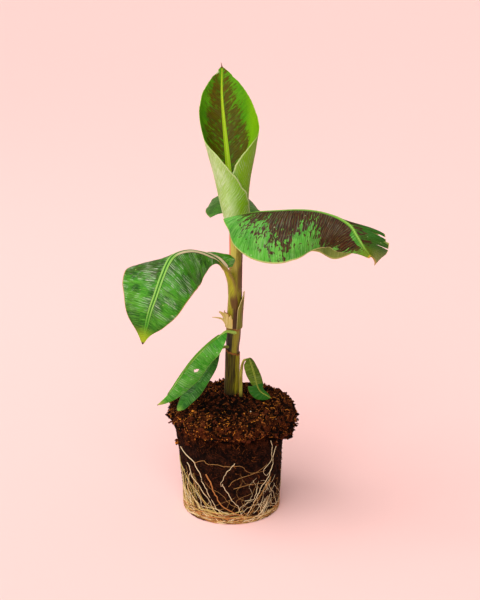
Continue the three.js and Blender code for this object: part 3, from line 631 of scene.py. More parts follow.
def blade_material(name, tones, band, margin, sheen, roughness, blotch=None, specks=None, tip=None,
                   fade=None, foot=None, tail=None):
    """A leaf surface: greens that follow the side veins, painted sheen, a midrib band, a thin margin and a
    dry tip.
    """
    shader = Shader(name, roughness, 0.16)
    vein, rib, station = shader.mark("vein"), shader.mark("rib"), shader.mark("station")

    def grain(along_it, across_it, detail=5, rough=0.6, twist=0.0):
        """Noise with its own fineness from vein to vein and along a vein."""
        place = shader.vector(shader.times(vein, along_it), shader.times(rib, across_it))
        return shader.noise(place, 1.0, detail, rough, twist)

    broad = grain(0.05, 0.05, 3)
    streaks = grain(1.5, 0.11)
    shader.colour = shader.mix(shader.span(broad, 0.38, 0.62), tones[0], tones[1])
    shader.paint(shader.span(grain(0.16, 0.02, 3), 0.5, 0.68, 0, 0.35), tones[2])
    shader.paint(shader.span(streaks, 0.46, 0.68, 0, 0.5), tones[2])
    shader.paint(shader.span(grain(1.0, 0.05, 6, 0.66, 0.3), 0.5, 0.64, 0, 0.5), tones[3])
    if fade:
        shader.paint(shader.span(shader.mark("side"), fade[1], fade[2]), fade[0])
    if blotch:
        dark, light, softness, strength, fineness = blotch
        patches = shader.minus(grain(0.2 * fineness, 0.075 * fineness, 5, 0.6, 0.5), 0.5)
        flames = shader.minus(grain(0.36 * fineness, 0.13 * fineness, 5, 0.6, 1.2), 0.5)
        ragged = shader.plus(shader.mark("extra"), shader.times(patches, 1.8))
        ragged = shader.plus(ragged, shader.times(flames, 2.3))
        tone = shader.mix(shader.span(grain(1.3, 0.15), 0.36, 0.66), dark, light)
        shader.paint(shader.span(ragged, -softness, softness, 0, strength), tone)
    phase = shader.plus(vein, shader.times(broad, 6.0))
    wave = shader.math("SINE", shader.times(phase, 2 * math.pi / VEIN_LINES))
    lines = shader.times(shader.span(wave, 0.6, 1.0), shader.span(streaks, 0.35, 0.6))
    shader.paint(shader.times(lines, 0.16), tones[2])
    shine = grain(1.5, 0.035, 5, 0.64)
    patchy = grain(0.06, 0.05, 4, 0.6, 1.0)
    gloss_and_painted_sheen = shader.times(shader.span(shine, 0.44, 0.62), shader.span(patchy, 0.46, 0.6))
    gloss_and_painted_sheen = shader.times(gloss_and_painted_sheen, shader.span(station, 0.88, 0.72))
    gloss_and_painted_sheen = shader.times(gloss_and_painted_sheen, shader.span(wave, -0.7, 0.6, 0.25, 1.0))
    # Painted sheen: pale grey-green streaks where the leaf shines; the same mask also lowers the roughness.
    shader.paint(shader.times(gloss_and_painted_sheen, sheen), "c8d4bc")
    if specks:
        spots = shader.cells(shader.vector(vein, rib), 0.09)
        shader.paint(shader.span(spots, 0.07, 0.04, 0, 0.6), specks)
    rail, groove = band
    if foot:
        rail = shader.mix(shader.span(station, foot[1], foot[2]), foot[0], rail)
    if tail:
        ending = shader.span(station, tail[0], tail[1], 0, 0.8)
        rail = shader.mix(ending, rail, tones[1])
        groove = shader.mix(ending, groove, tones[1])
    middle = shader.mark("band")
    shader.paint(shader.span(middle, 1.25, 1.15), tones[3])
    shader.paint(shader.span(middle, 1.1, 1.0), rail)
    shader.paint(shader.span(middle, 0.42, 0.25), groove)
    shader.paint(shader.span(shader.size(shader.mark("share")), 0.965, 0.99, 0, 0.8), margin)
    if tip:
        shader.paint(shader.span(station, 0.88, 0.985, 0, 0.8), tip[0])
        shader.paint(shader.span(station, 0.982, 0.992), tip[1])
    fine = shader.noise(shader.vector(vein, rib), 2.2, 3)
    height = shader.plus(shader.times(wave, 0.35), shader.times(fine, 0.7))
    shader.bump(shader.plus(height, shader.times(shine, 1.6)), 0.0003)
    return shader.finish(shader.minus(roughness + 0.08, shader.times(gloss_and_painted_sheen, 0.14)))


def streaked_material(name, tones, scale, roughness, relief=0.0002, specular=0.35, rim=None, fade=None,
                      stain=None, soil_and_shade=None):
    """Long streaks of three tones that run up a stem or stalk; a sheet also has a rim. A foot can be darkened
    by soil stain and painted shade.
    """
    shader = Shader(name, roughness, specular)
    up, turn = shader.mark("up"), shader.mark("round")
    grain = shader.noise(shader.vector(shader.times(up, 0.05), turn), scale, 5, 0.6)
    patch = shader.noise(shader.vector(shader.times(up, 0.04), shader.times(turn, 0.3)), 1.0, 3)
    lean = shader.plus(shader.mark("side"), shader.times(grain, 1.2))
    shader.colour = shader.mix(shader.span(grain, 0.38, 0.6), tones[0], tones[1])
    shader.paint(shader.span(patch, 0.5, 0.66, 0, 0.8), tones[2])
    if fade:
        shader.paint(shader.span(lean, fade[1], fade[2]), fade[0])
    if stain:
        low = shader.span(up, stain[1], stain[2])
        shader.paint(shader.times(low, shader.span(lean, 0.35, 0.75, 0, 0.9)), stain[0])
    # Soil stain and painted shade: the foot of a sheath or stalk darkened where it meets the compost.
    if soil_and_shade:
        foot_stain_and_shade = shader.plus(up, shader.times(patch, 8.0))
        shader.paint(shader.span(foot_stain_and_shade, soil_and_shade[0], soil_and_shade[1], 0, 0.85), "1c0e06")
    if rim:
        shader.paint(shader.span(shader.mark("edge"), 0.965, 0.98), rim)
    shader.bump(shader.plus(grain, shader.times(patch, 0.5)), relief)
    return shader.finish()


def stem_material():
    """The pseudostem: painted shadow on its left low down, scarred and brown on its right, painted highlight
    on its left high up.
    """
    shader = Shader("stem_skin", 0.48, 0.35, 0.06)
    up, turn, side = shader.mark("up"), shader.mark("round"), shader.mark("side")
    streak = shader.noise(shader.vector(shader.times(up, 0.03), turn), 0.9, 6, 0.62)
    fine = shader.noise(shader.vector(shader.times(up, 0.08), turn), 3.0, 4, 0.6)
    shake = shader.times(shader.minus(streak, 0.5), 2.2)
    lean = shader.plus(side, shake)

    def grained(dark, light):
        return shader.mix(shader.span(fine, 0.35, 0.65), dark, light)

    shader.colour = grained("827e08", "aaa41c")
    shader.paint(shader.span(lean, -0.55, 0.0), grained("666404", "8a840a"))
    shader.paint(shader.span(lean, 0.55, 1.0), grained("402c04", "64500c"))
    # Painted highlight on the left of the stem high up: pale yellow, orange at the very edge.
    pale = shader.mix(shader.span(side, -0.72, -0.86), "c4bc54", "d87850")
    shader.paint(shader.times(shader.span(up, STEM_HIGHLIGHT, STEM_HIGHLIGHT + 10), shader.span(lean, 0.4, -0.1)), pale)
    from_patch = shader.size(shader.minus(shader.plus(up, shader.times(shake, 10.0)), BROWN_PATCH))
    shader.paint(shader.times(shader.span(from_patch, 16, 9, 0, 0.75), shader.span(side, 0.1, 0.5)), "4c2408")
    scar = shader.span(shader.plus(up, shader.times(shake, 14.0)), SCAR_TOP, SCAR_TOP - 10)
    scar = shader.times(scar, shader.span(side, -0.45, 0.0))
    shader.paint(shader.times(scar, 0.92), "3c140a")
    # Painted shadow under the leaf ring: nearly black on the left; the olive and brown further round are the
    # stem's own.
    below = shader.mix(shader.span(lean, -0.35, 0.25), "1e1802", "827c10")
    below = shader.mix(shader.span(lean, 0.55, 0.95), below, "4c3a12")
    shader.paint(shader.span(up, LEAF_RING + 0.5, LEAF_RING - 1.5), below)
    ring = shader.size(shader.minus(up, LEAF_RING))
    shader.paint(shader.span(ring, 2.0, 0.8, 0, 0.8), "8a5a20")
    shader.bump(shader.plus(streak, shader.times(fine, 0.5)), 0.0005)
    return shader.finish()


def compost_material():
    """Dark crumbly compost, with lighter fibrous flecks, a browner top and painted shade."""
    shader = Shader("compost", 0.95, 0.05)
    place = shader.node("TexCoord").outputs["Object"]
    coarse = shader.noise(place, 130, 6, 0.75)
    fine = shader.noise(place, 480, 5, 0.7)
    top = shader.span(shader.node("SeparateXYZ", place).outputs[2], 0.078, 0.1)
    low = shader.mix(shader.span(coarse, 0.42, 0.66), "0c0504", "30180e")
    high = shader.mix(shader.span(coarse, 0.42, 0.64), "0a0402", "50240e")
    shader.colour = shader.mix(top, low, high)
    flecks = shader.times(shader.span(fine, 0.55, 0.68), shader.span(top, 0, 1, 0.25, 0.9))
    shader.paint(flecks, "945020")
    # Painted shade: nearly black under the collar's overhang and in the hollow round the stem's foot.
    shader.paint(shader.mark("shade"), "050202")
    shader.bump(shader.plus(coarse, shader.times(fine, 0.6)), 0.003)
    return shader.finish()


def plain_material(name, tone, roughness=0.9):
    """Plain colour for the dry point and for one kind of crumb, fibre or root."""
    shader = Shader(name, roughness, 0.06)
    shader.colour = tone
    return shader.finish()


# Leaves

def right_zones(marks):
    """Maroon over the near half but for its margin, its foot, a patch and the end of its rib; less beyond."""
    s, v = marks["station"], marks["share"]
    from_edge = along([[0, 0.1], [0.06, 0.25], [0.12, 0.36], [0.2, 0.42], [0.28, 0.52], [0.34, 0.75],
                       [0.4, 0.85], [0.46, 0.5], [0.54, 0.4], [0.6, 0.7], [0.68, 1.1], [0.85, 1.1],
                       [0.92, 0.6], [1, 0.3]], s)
    by_rib = -v / 0.11 - along([[0, -9], [0.7, -9], [0.8, 1], [1, 1]], s)
    return {"extra": np.where(v > 0, 0.25 - 1.4 * v, np.minimum(from_edge + v, by_rib)), "side": v}


def left_zones(marks):
    """A dull shoulder on the outer half, where the leaf bends over."""
    s, v = marks["station"], marks["share"]
    return {"extra": np.minimum((-v - 0.15) / 0.5, 0.5 - np.abs(s - 0.52) / 0.16)}


def small_zones(marks):
    return {"side": marks["station"]}


def scroll_zones(marks, reach):
    """Brown in the middle of the scroll's inside, away from its margins and its tip."""
    station = marks["station"]
    width = np.abs(marks["rib"])
    reach_out = along([[0, 22], [0.55, 22], [0.72, 15], [0.87, 9], [1, 5]], station)
    middle = np.minimum(0.13 - np.clip((width - reach_out) / 15, -0.1, 2), (width - 1.5) / 1.5)
    # The side mark is 1 on the right of the scroll and -1 on its left; it carries painted light and shade.
    return {"extra": middle - 0.3 * np.clip((station - 0.85) / 0.15, 0, 1),
            "side": np.cos((SCROLL_MIDRIB + reach) * DEGREE)}


def leaf_pieces():
    under_greens = ("4c7818", "709c34", "9cbc60", "3c6410")
    back_rib = ("9cca5a", "5c9a2a")
    left_upper = blade_material(
        "left_leaf_upper", ("184c04", "34840e", "6cb236", "051c02"), ("84b850", "2c6c10"), "b89a4c",
        0.66, 0.36, ("1e2c06", "3c3812", 0.3, 0.6, 1.0), "b4cc70", ("a0b014", "3c2210"),
        foot=("ccc49c", 0.4, 0.47), tail=(0.76, 0.9))
    left_under = blade_material("left_leaf_under", under_greens, back_rib, "a89a50", 0.1, 0.55)
    # The right leaf's pale yellow margins, above and below, are partly its own pale edge and partly painted
    # light shining through it.
    right_upper = blade_material(
        "right_leaf_upper", ("2f7c18", "4ca02c", "80c058", "1c4c0a"), ("649c2c", "90c058"), "ccd080",
        0.12, 0.36, ("1c0b02", "4a2608", 0.05, 1.0, 1.0), "a8b48a", ("6c8c1c", "b09c28"),
        ("265c0c", 0.02, 0.12))
    right_under = blade_material("right_leaf_under", ("6c8c38", "84a048", "a0b868", "54782c"), back_rib,
                                 "c8cc70", 0.1, 0.55)
    back_upper = blade_material("back_leaf_upper", ("24580a", "3c7c14", "74a440", "102c04"), back_rib,
                                "7c9c40", 0.3, 0.4)
    back_under = blade_material("back_leaf_under", ("285c08", "407c14", "80b050", "143404"), back_rib,
                                "7c9c40", 0.5, 0.5)
    lower_upper = blade_material(
        "lower_leaf_upper", ("2c8c10", "4ca82c", "88cc60", "165408"), ("9cd46c", "5c9c34"), "94c45c",
        0.4, 0.36, specks="c8dcb0", tip=("a8b848", "3c2210"))
    lower_under = blade_material("lower_leaf_under", under_greens, back_rib, "8cb85c", 0.1, 0.55)
    # The under leaf's greens are darker: partly its own green and partly painted shade, as it lies in the
    # lower leaf's shade.
    under_upper = blade_material(
        "under_leaf_upper", ("16500a", "2c7818", "5ca038", "0a3004"), ("3c7c28", "2f6c1e"), "7cac54",
        0.2, 0.4, tip=("7ca43c", "3c2210"))
    small_upper = blade_material(
        "small_leaf_upper", ("344e04", "506c0c", "78922c", "182c02"), ("98a840", "405408"), "5c5c18",
        0.1, 0.42, fade=("206010", 0.585, 0.6))
    tears = [{"station": station, "side": 1, "from": 0.45, "gap": 0.006} for station in (0.78, 0.88)]
    rows = [("right_leaf", RIGHT_LEAF, (right_upper, right_under), 220, 40, 0.8, 3, tears, None, right_zones,
             ("right_leaf_blade",)),
            ("left_leaf", LEFT_LEAF, (left_upper, left_under), 220, 36, 0.8, 5, (), None, left_zones,
             ("left_leaf_arch", "left_leaf_fall")),
            ("back_leaf", BACK_LEAF, (back_upper, back_under), 140, 26, 0.8, 8, (), None, None,
             ("back_leaf_blade",)),
            ("lower_leaf", LOWER_LEAF, (lower_upper, lower_under), 180, 28, 0.5, 11, (), LOWER_LEAF_HOLE,
             None, ("lower_leaf_blade",)),
            ("under_leaf", UNDER_LEAF, (under_upper, lower_under), 120, 20, 0.4, 14, (), None, None,
             ("under_leaf_blade",)),
            ("small_leaf", SMALL_LEAF, (small_upper, lower_under), 110, 20, 0.4, 17, (), None, small_zones,
             ("small_leaf_blade", "small_leaf_tip"))]
    for *shape, nodes in rows:
        dress(blade_piece(*shape), "leaf", *nodes)


def scroll_piece():
    """The unfurling leaf: one sheet wound into a scroll, open at the front near its tip."""
    # Inside: lime over the right side, so the left stays darker, as painted light and shade; the lime margin
    # is partly painted light shining through.
    inside = blade_material(
        "scroll_inside", ("3c8402", "549c08", "74b814", "2c5a02"), ("a4c81c", "b8d834"), "8cb828", 0.04, 0.42,
        blotch=("402a00", "664404", 0.08, 0.88, 1.3), fade=("7cb806", 0.4, 0.85))
    # Outside: painted light, pale mint on the left where light falls and shines through, green on the right;
    # its pale margin is partly painted light.
    outside = blade_material(
        "scroll_outside", ("9cc45c", "bcdc94", "dceccc", "8cb848"), ("9cca5a", "5c9a2a"), "c8d898", 0.3, 0.5,
        fade=("74a808", -0.55, 0.45))
    rows, columns = 240, 84
    heights = SCROLL_FOOT + (SCROLL_TIP - SCROLL_FOOT) * np.linspace(0, 1, rows + 1)
    shares = np.linspace(-1, 1, columns + 1)
    shares = np.sign(shares) * np.abs(shares) ** 1.25
    height, v = np.meshgrid(heights, shares, indexing="ij")
    radius = along(SCROLL["radius"], height)
    reach = np.where(v < 0, along(SCROLL["right"], height), along(SCROLL["left"], height))
    ragged = np.array([[1.8 * noise.noise((0.13 * h, side, 0)) + 0.6 * noise.noise((0.5 * h, side, 3))
                        for side in (-1, 1)] for h in heights])
    ragged[:, 1] += 4.5 * pit(heights - SPINDLE_NOTCH, 1.8)
    cut = np.where(v < 0, ragged[:, :1], ragged[:, 1:]) / np.maximum(reach * DEGREE * radius, 8)
    points = scroll_points(height, v * (1 - cut * v ** 8))
    quads = grid_quads(np.arange(height.size).reshape(height.shape))
    normals = point_normals(points.reshape(-1, 3), quads).reshape(points.shape)
    reach = reach * v
    rib = reach * DEGREE * radius
    station = (height - SCROLL_FOOT) / (SCROLL_TIP - SCROLL_FOOT)
    size = 1 - 0.75 * station
    vein = height - np.abs(rib) * 0.9
    pleat = 0.06 * np.sin(vein * 2 * math.pi / SCROLL_PLEAT) * np.minimum(np.abs(v) * 4, 1)
    band = np.abs(rib) / (4.0 - 3.6 * station)
    points = points + normals * (pleat + midrib(band, 0.6, 0.3) * size)[..., None]
    depth = LAMINA + 0.9 * size * np.clip(1 - band ** 2, 0, 1) ** 0.7
    marks = {"station": station, "share": v, "rib": rib, "vein": vein, "band": band}
    marks.update(scroll_zones(marks, reach))
    marks = {mark: values.reshape(-1) for mark, values in marks.items()}
    body, faces, side, marks = thicken(points.reshape(-1, 3), quads, depth.reshape(-1), marks)
    dress(make_piece("spindle", body, faces, [inside, outside], side, True, marks), "leaf", "spindle_leaf")
    tip = scroll_points(np.array([SCROLL_TIP - 1.5]), np.array([0.0]))[0]
    spike = [tip, tip + (-0.2, -0.3, 2.5), tip + (-0.9, -0.6, 5.5)]
    points, faces = tube(spike, [0.8, 0.5, 0.2], 6)
    dress(make_piece("spindle_point", points, faces, [plain_material("dry_point", "6c4420")]), "leaf")


# Stalks

def limb(path, thick, steps, sides, up=(0, 0, 1), groove=0.0, flat=1.0):
    """A stalk of changing thickness with a groove on its upper side: points, faces and marks."""
    curve, length = curve_through(path)
    s = np.linspace(0, 1, steps + 1)
    radii = along(thick, s)
    points, faces = tube(curve(s), radii, sides, flat, up)
    rings = points.reshape(steps + 1, sides, 3)
    centre = rings.mean(axis=1, keepdims=True)
    angles = np.arange(sides) * 2 * math.pi / sides
    factor = 1 - groove * np.exp(-((angles - math.pi / 2) / 0.6) ** 2)
    rings = centre + (rings - centre) * factor[None, :, None]
    run = np.repeat(s * length, sides)
    turn = np.tile(angles, steps + 1) * np.repeat(radii, sides)
    return rings.reshape(-1, 3), faces, {"up": run, "round": turn, "side": np.cos(np.tile(angles, steps + 1))}


def under_rib(leaf, near, far, drop):
    """Two places under the foot of the leaf's midrib, for its stalk to end in."""
    curve, _ = curve_through(leaf["spine"])
    return [list(curve(s) - np.array([0, 0, drop])) for s in (near, far)]


def stalk_pieces():
    green = streaked_material("stalk_green", ("8c900e", "b0b428", "a09024"), 0.8, 0.45,
                              fade=("84702c", 1.2, 1.7), stain=("50280e", 38, 26))
    pale = streaked_material("stalk_pale", ("7cac38", "a4cc5c", "8cb048"), 1.2, 0.45)
    dark = streaked_material("stalk_dark", ("5c6a20", "8a9438", "4a2f14"), 1.4, 0.5)
    shoot = streaked_material("shoot_skin", ("7c7c1c", "a8a440", "6c4420"), 1.2, 0.5, soil_and_shade=(24, 15))
    rows = [("right_petiole", "right_leaf_petiole", dark, [[0, 2.3], [1, 1.1]],
             [[8, -4, 286], [9.5, -11, 302], [13, -22.6, 320.2]] + under_rib(RIGHT_LEAF, 0.03, 0.08, 1.2)),
            ("left_petiole", "left_leaf_petiole", green,
             [[0, 5.9], [0.35, 5.7], [0.6, 4.0], [0.85, 2.4], [1, 1.1]],
             [[3.7, -0.6, 203], [3.3, -1.7, 224], [0.8, -5.5, 246], [-4.5, -16, 263.4]]
             + under_rib(LEFT_LEAF, 0.03, 0.08, 1.2)),
            ("back_petiole", "back_leaf_petiole", dark, [[0, 2.3], [1, 1.1]],
             [[5, 4, 288], [6, 12, 300], [6, 28, 307.4]] + under_rib(BACK_LEAF, 0.03, 0.08, 1.2)),
            ("lower_petiole", "lower_leaf_petiole", pale, [[0, 2.3], [1, 0.9]],
             [[4, -5, 194], [1, -9, 196], [-4.9, -15.9, 198.8]] + under_rib(LOWER_LEAF, 0.04, 0.1, 0.8)),
            ("under_petiole", "under_leaf_petiole", dark, [[0, 1.8], [1, 0.8]],
             [[-2, -3, 178], [-8, -6, 178.5], [-13, -7.7, 175.9]] + under_rib(UNDER_LEAF, 0.04, 0.1, 0.8)),
            ("shoot_stalk", "small_leaf_stalk", shoot, [[0, 2.0], [0.7, 1.7], [1, 1.0]],
             [[9.6, -5, 112], [9.9, -6.5, 132], [10, -8, 149], [11, -8.4, 159], [12.9, -8.7, 165],
              [15, -9, 166], [19, -11, 165]])]
    for name, node, material, thick, path in rows:
        points, faces, marks = limb(path, thick, 60, 20, groove=0.3)
        dress(make_piece(name, points, faces, [material], None, True, marks), "petiole", node)


# Stem and sheaths

def stem_centre(height):
    """Centre and radius of the stem at heights."""
    axis, _ = curve_through(STEM_AXIS)
    share = np.clip((height - STEM_AXIS[0][2]) / (STEM_AXIS[-1][2] - STEM_AXIS[0][2]), 0, 1)
    return axis(share), along(STEM_RADII, share)


def stem_marks(height, angle, girth):
    return {"up": height.reshape(-1), "round": (angle * girth).reshape(-1), "side": np.cos(angle).reshape(-1)}


def stem_piece():
    """The pseudostem, wrapped in sheath edges that climb it at a slant."""
    rows, sides = 320, 96
    heights = np.linspace(STEM_AXIS[0][2], STEM_AXIS[-1][2], rows + 1)
    angles = np.arange(sides) * 2 * math.pi / sides
    height, angle = np.meshgrid(heights, angles, indexing="ij")
    centre, radius = stem_centre(height)
    step = np.zeros_like(height)
    for wrap in (200 + 0.9 * (height - 180), 20 - 0.7 * (height - 200), 300 + 1.6 * (height - 230)):
        turn = np.mod(angle / DEGREE - wrap, 360)
        step += 0.42 * np.clip(turn / 320, 0, 1) ** 2 * (turn < 356)
    ridges = 0.1 * np.sin(angle * 23 + 0.03 * height)
    size = radius + 0.05 + 0.5 * step + ridges - 0.35
    piece = make_piece("stem", ring_points(centre, size, angle, height), closed_rings(rows + 1, sides),
                       [stem_material()], None, True, stem_marks(height, angle, 6.8))
    dress(piece, "stem", "pseudostem")


def wrap_sheet(start, stop, foot, head, rows, columns, radius, ragged, seed):
    """A sheet round the stem, between two angles and from a foot height to a head height."""
    turn = np.linspace(0, 1, columns + 1)
    up, across = np.meshgrid(np.linspace(0, 1, rows + 1), turn, indexing="ij")
    angle = (start + (stop - start) * across) * DEGREE
    top = head(across) + ragged * np.array([noise.noise((12 * a, seed, 0)) for a in turn])[None, :]
    height = foot + (top - foot) * up
    centre, stem = stem_centre(height)
    points = ring_points(centre, radius(stem, up, across), angle, height)
    marks = stem_marks(height, angle, 8)
    marks["edge"] = np.maximum(np.abs(2 * across - 1), up).reshape(-1)
    return points, grid_quads(np.arange(up.size).reshape(up.shape))[:, [0, 3, 2, 1]], marks


def sheet_piece(name, sheet, material, depth, flaps=()):
    """A sheet as a thin closed body, with torn flaps as flat limbs."""
    points, quads, marks = sheet
    body, faces, _, marks = thicken(points, quads, np.full(len(points), depth), marks)
    for path, start, end in flaps:
        flap, flap_faces, flap_marks = limb(path, [[0, start], [1, end]], 16, 10, (0.3, -1, 0.2), flat=0.35)
        faces += [[index + len(body) for index in face] for face in flap_faces]
        body = np.vstack([body, flap])
        flap_marks["edge"] = np.linspace(0.5, 1, len(flap))
        marks = {mark: np.concatenate([values, flap_marks[mark]]) for mark, values in marks.items()}
    return make_piece(name, body, faces, [material], None, True, marks)


def sheath_pieces():
    outer_skin = streaked_material("sheath_skin", ("181000", "504c04", "301a04"), 1.0, 0.55, 0.0005, 0.2,
                                   "7c4c1c", fade=("84800c", 0.85, 1.25), soil_and_shade=(138, 128))
    cut_skin = streaked_material("cut_skin", ("54560e", "7c8024", "64401a"), 0.8, 0.55, 0.0004, 0.3, "c8b878")
    dry_skin = streaked_material("dry_skin", ("c0a850", "e0d090", "b08844"), 1.2, 0.8, 0.0006, 0.15, "8c5420")
    outer = wrap_sheet(150, 515, 113, lambda a: 174 + 2 * np.cos(2 * math.pi * a) - 3 * a, 70, 110,
                       lambda stem, up, a: 7.35 + 0.45 * a + 0.12 * np.sin(a * 90), 2.0, 3.0)
    dress(sheet_piece("outer_wrap", outer, outer_skin, 0.5), "stem", "outer_sheath")
    cut = wrap_sheet(-70, 60, 198, lambda a: 236 - 17 * (2 * a - 1) ** 2, 60, 50,
                     lambda stem, up, a: stem + 1.5 + 1.2 * up ** 2 + 0.1 * np.sin(a * 60), 2.5, 7.0)
    dress(sheet_piece("cut_stub", cut, cut_skin, 0.7), "stem", "cut_petiole")
    dry = wrap_sheet(150, 262, 199, lambda a: 216 - 6 * (2 * a - 1) ** 2, 40, 50,
                     lambda stem, up, a: (stem + 1.3 + 2.6 * up ** 2 * np.sin(math.pi * a)
                                          + 0.15 * np.sin(a * 50)), 3.0, 9.0)
    flaps = [([[-3.6, -3, 204], [-6, -3.6, 210], [-9.5, -4, 214.5], [-12, -4, 216]], 3.4, 0.9),
             ([[-4.4, -3.4, 202], [-8, -4.2, 207.5], [-12, -4.8, 209.5], [-19, -5, 210.5]], 1.6, 0.35)]
    dress(sheet_piece("torn_stub", dry, dry_skin, 0.4, flaps), "dry_leaf", "dry_stub")


# Root ball

def side_radius(angle, height):
    """Radius of the ball's side under the collar."""
    settled = np.clip((height - 16) / 12, 0, 1)
    wobble = 0.5 * np.sin(5 * angle + 0.09 * height) + 0.3 * np.sin(11 * angle - 0.2 * height)
    growth = (BALL_WAIST_RADIUS - BALL_FOOT_RADIUS) * np.minimum(height / 80, 1)
    sloped = SLOPE * (height / COLLAR_UNDER) ** 4 * np.maximum(0, np.cos(angle - SLOPED_SIDE)) ** 2
    return BALL_FOOT_RADIUS + growth + settled * wobble + sloped


def collar_under(angle):
    """Height of the collar's underside, which drops on the right."""
    turn = np.mod(angle / DEGREE - 10 + 180, 360) - 180
    return COLLAR_UNDER - COLLAR_DROP * np.where(np.abs(turn) < 60, np.cos(1.5 * turn * DEGREE), 0)


def ball_profile(angle):
    """Radius and height of the ball along its profile at each angle, from the foot to the stem."""
    under = collar_under(angle)
    reach = COLLAR_RADIUS + 1.5 * np.sin(3 * angle + 0.6) + 1.2 * np.cos(7 * angle + 2)
    one = np.ones_like(angle)
    rows = [(20 * one, 0.3 * one), (side_radius(angle, 0 * one) - 1.2, 0.3 * one)]
    for share in (0.02, 0.2, 0.4, 0.6, 0.7, 0.8, 0.9, 0.985):
        height = share * under
        rows.append((side_radius(angle, height) - 0.3, height))
    rows += [(reach - 4.5, under + 0.6), (reach - 1.6, under + 4.5), (reach - 0.2, 107 * one),
             (reach - 0.9, COLLAR_TOP * one)]
    rows += [(reach - 4.6, 115 * one)] + [(radius * one, height * one) for radius, height in MOUND]
    radii = np.stack([row[0] for row in rows])
    heights = np.stack([row[1] for row in rows])
    steps = np.hypot(np.diff(radii, axis=0), np.diff(heights, axis=0))
    runs = np.vstack([np.zeros_like(angle)[None], np.cumsum(steps, axis=0)])
    at = np.linspace(0, 1, BALL_ROWS)
    return [np.stack([np.interp(at * run[-1], run, values) for run, values in zip(runs.T, table.T)], axis=1)
            for table in (radii, heights)]


def ball_surface():
    """Crumbly grid of the ball's surface, with the normals of the smooth one."""
    angles = np.arange(BALL_SIDES) * 2 * math.pi / BALL_SIDES
    radius, height = ball_profile(angles)
    points = ring_points(np.zeros(2), radius, angles, height)
    normals = point_normals(points, ring_quads(BALL_ROWS, BALL_SIDES))
    rough = np.clip((points[:, 2] - 70) / 30, 0, 1)
    lumps = np.array([noise.noise(Vector(p) * 0.16) + 0.7 * noise.noise(Vector(p) * 0.4)
                      + 0.4 * noise.noise(Vector(p) * 0.9) for p in points.tolist()])
    depth = (0.4 + 2.2 * rough) * (lumps - 0.2)
    low = np.clip((points[:, 2] - 0.5) / 3, 0, 1)
    return points + normals * (depth * low)[:, None], normals


def lump(source, size):
    """An uneven small lump: an eight-sided shape with its corners moved about."""
    corners = [(1, 0, 0), (-1, 0, 0), (0, 1, 0), (0, -1, 0), (0, 0, 1), (0, 0, -1)]
    points = [[size * (place + source.uniform(-0.35, 0.35)) for place in corner] for corner in corners]
    faces = [(0, 2, 4), (2, 1, 4), (1, 3, 4), (3, 0, 4), (2, 0, 5), (1, 2, 5), (3, 1, 5), (0, 3, 5)]
    return np.array(points), faces


def pick(source, weights):
    """A kind, counted from 0, by its weight."""
    return source.choices(range(len(weights)), weights)[0]


def somewhere(source, low, span):
    """Number of a random point of the ball's surface, in a span of its rows that starts at low."""
    row = min(int(BALL_ROWS * (low + span * source.random())), BALL_ROWS - 2)
    return row * BALL_SIDES + source.randrange(BALL_SIDES)


def over_collar(place):
    """Height of a place over the collar's underside."""
    return place[2] - collar_under(math.atan2(place[1], place[0]))


def from_hollow(x, y):
    """Distance from the hollow in the top, which is wider than it is deep."""
    return np.hypot((x - HOLLOW[0]) / 1.3, y - HOLLOW[1])


def warmth(place):
    """From 1 on the side with the most orange crumbs to 0 on the other."""
    return max(0.0, math.cos(math.atan2(place[1], place[0]) - WARM_SIDE)) ** 2


def crumb_heap(points, normals, source):
    """Crumbs all over the ball, a ring of them round the stem's foot, and clumps round the collar."""
    heap = Heap()
    for _ in range(CRUMBS):
        spot = somewhere(source, 0.12, 0.86)
        centre, normal = points[spot], normals[spot]
        over = over_collar(centre)
        # No crumbs low down, where only roots lie, nor in the band just under the collar, where the core is
        # painted with shade.
        if centre[2] < MAT_TOP or -7 < over < 0:
            continue
        high = over > -2
        size = 0.4 + 2.3 * source.random() ** 2.6 if high else source.uniform(0.2, 0.6)
        body, faces = lump(source, 1.0)
        stretch = np.array([source.uniform(0.6, 1.4), source.uniform(0.6, 1.4), source.uniform(0.6, 1.2)])
        warm = 1 + 3 * warmth(centre)
        # In the hollow the crumbs are mostly dark, as part of its painted shade.
        inner = from_hollow(centre[0], centre[1]) < 22
        kind = pick(source, (15, 2, 0.3, 0.05, 0) if inner else (10, 6, 2.6 * warm, 1.2 * warm, 0.06))
        if not high:
            kind = pick(source, (6, 2))
        size = min(size, LARGEST_CRUMB[kind])
        heap.add(centre + normal * size * 0.1 + body * stretch * size, faces, kind)
    for _ in range(FOOT_CRUMBS):
        angle = source.uniform(0, 2 * math.pi)
        reach = 7.5 + 6 * source.random() ** 2
        body, faces = lump(source, source.uniform(0.5, 1.5))
        centre = np.array([reach * math.cos(angle), reach * math.sin(angle), 125.6 - 0.35 * (reach - 7.5)])
        heap.add(centre + body, faces, pick(source, (6, 4, 1)))
    for _ in range(CLUMPS):
        spot = somewhere(source, 0.5, 0.28)
        for _ in range(CLUMP_CRUMBS):
            spread = np.array([source.gauss(0, 1.3) for _ in range(3)])
            body, faces = lump(source, source.uniform(0.5, 1.7))
            heap.add(points[spot] + normals[spot] * 1.4 + spread + body, faces, pick(source, (6, 6, 2, 0.6)))
    return heap


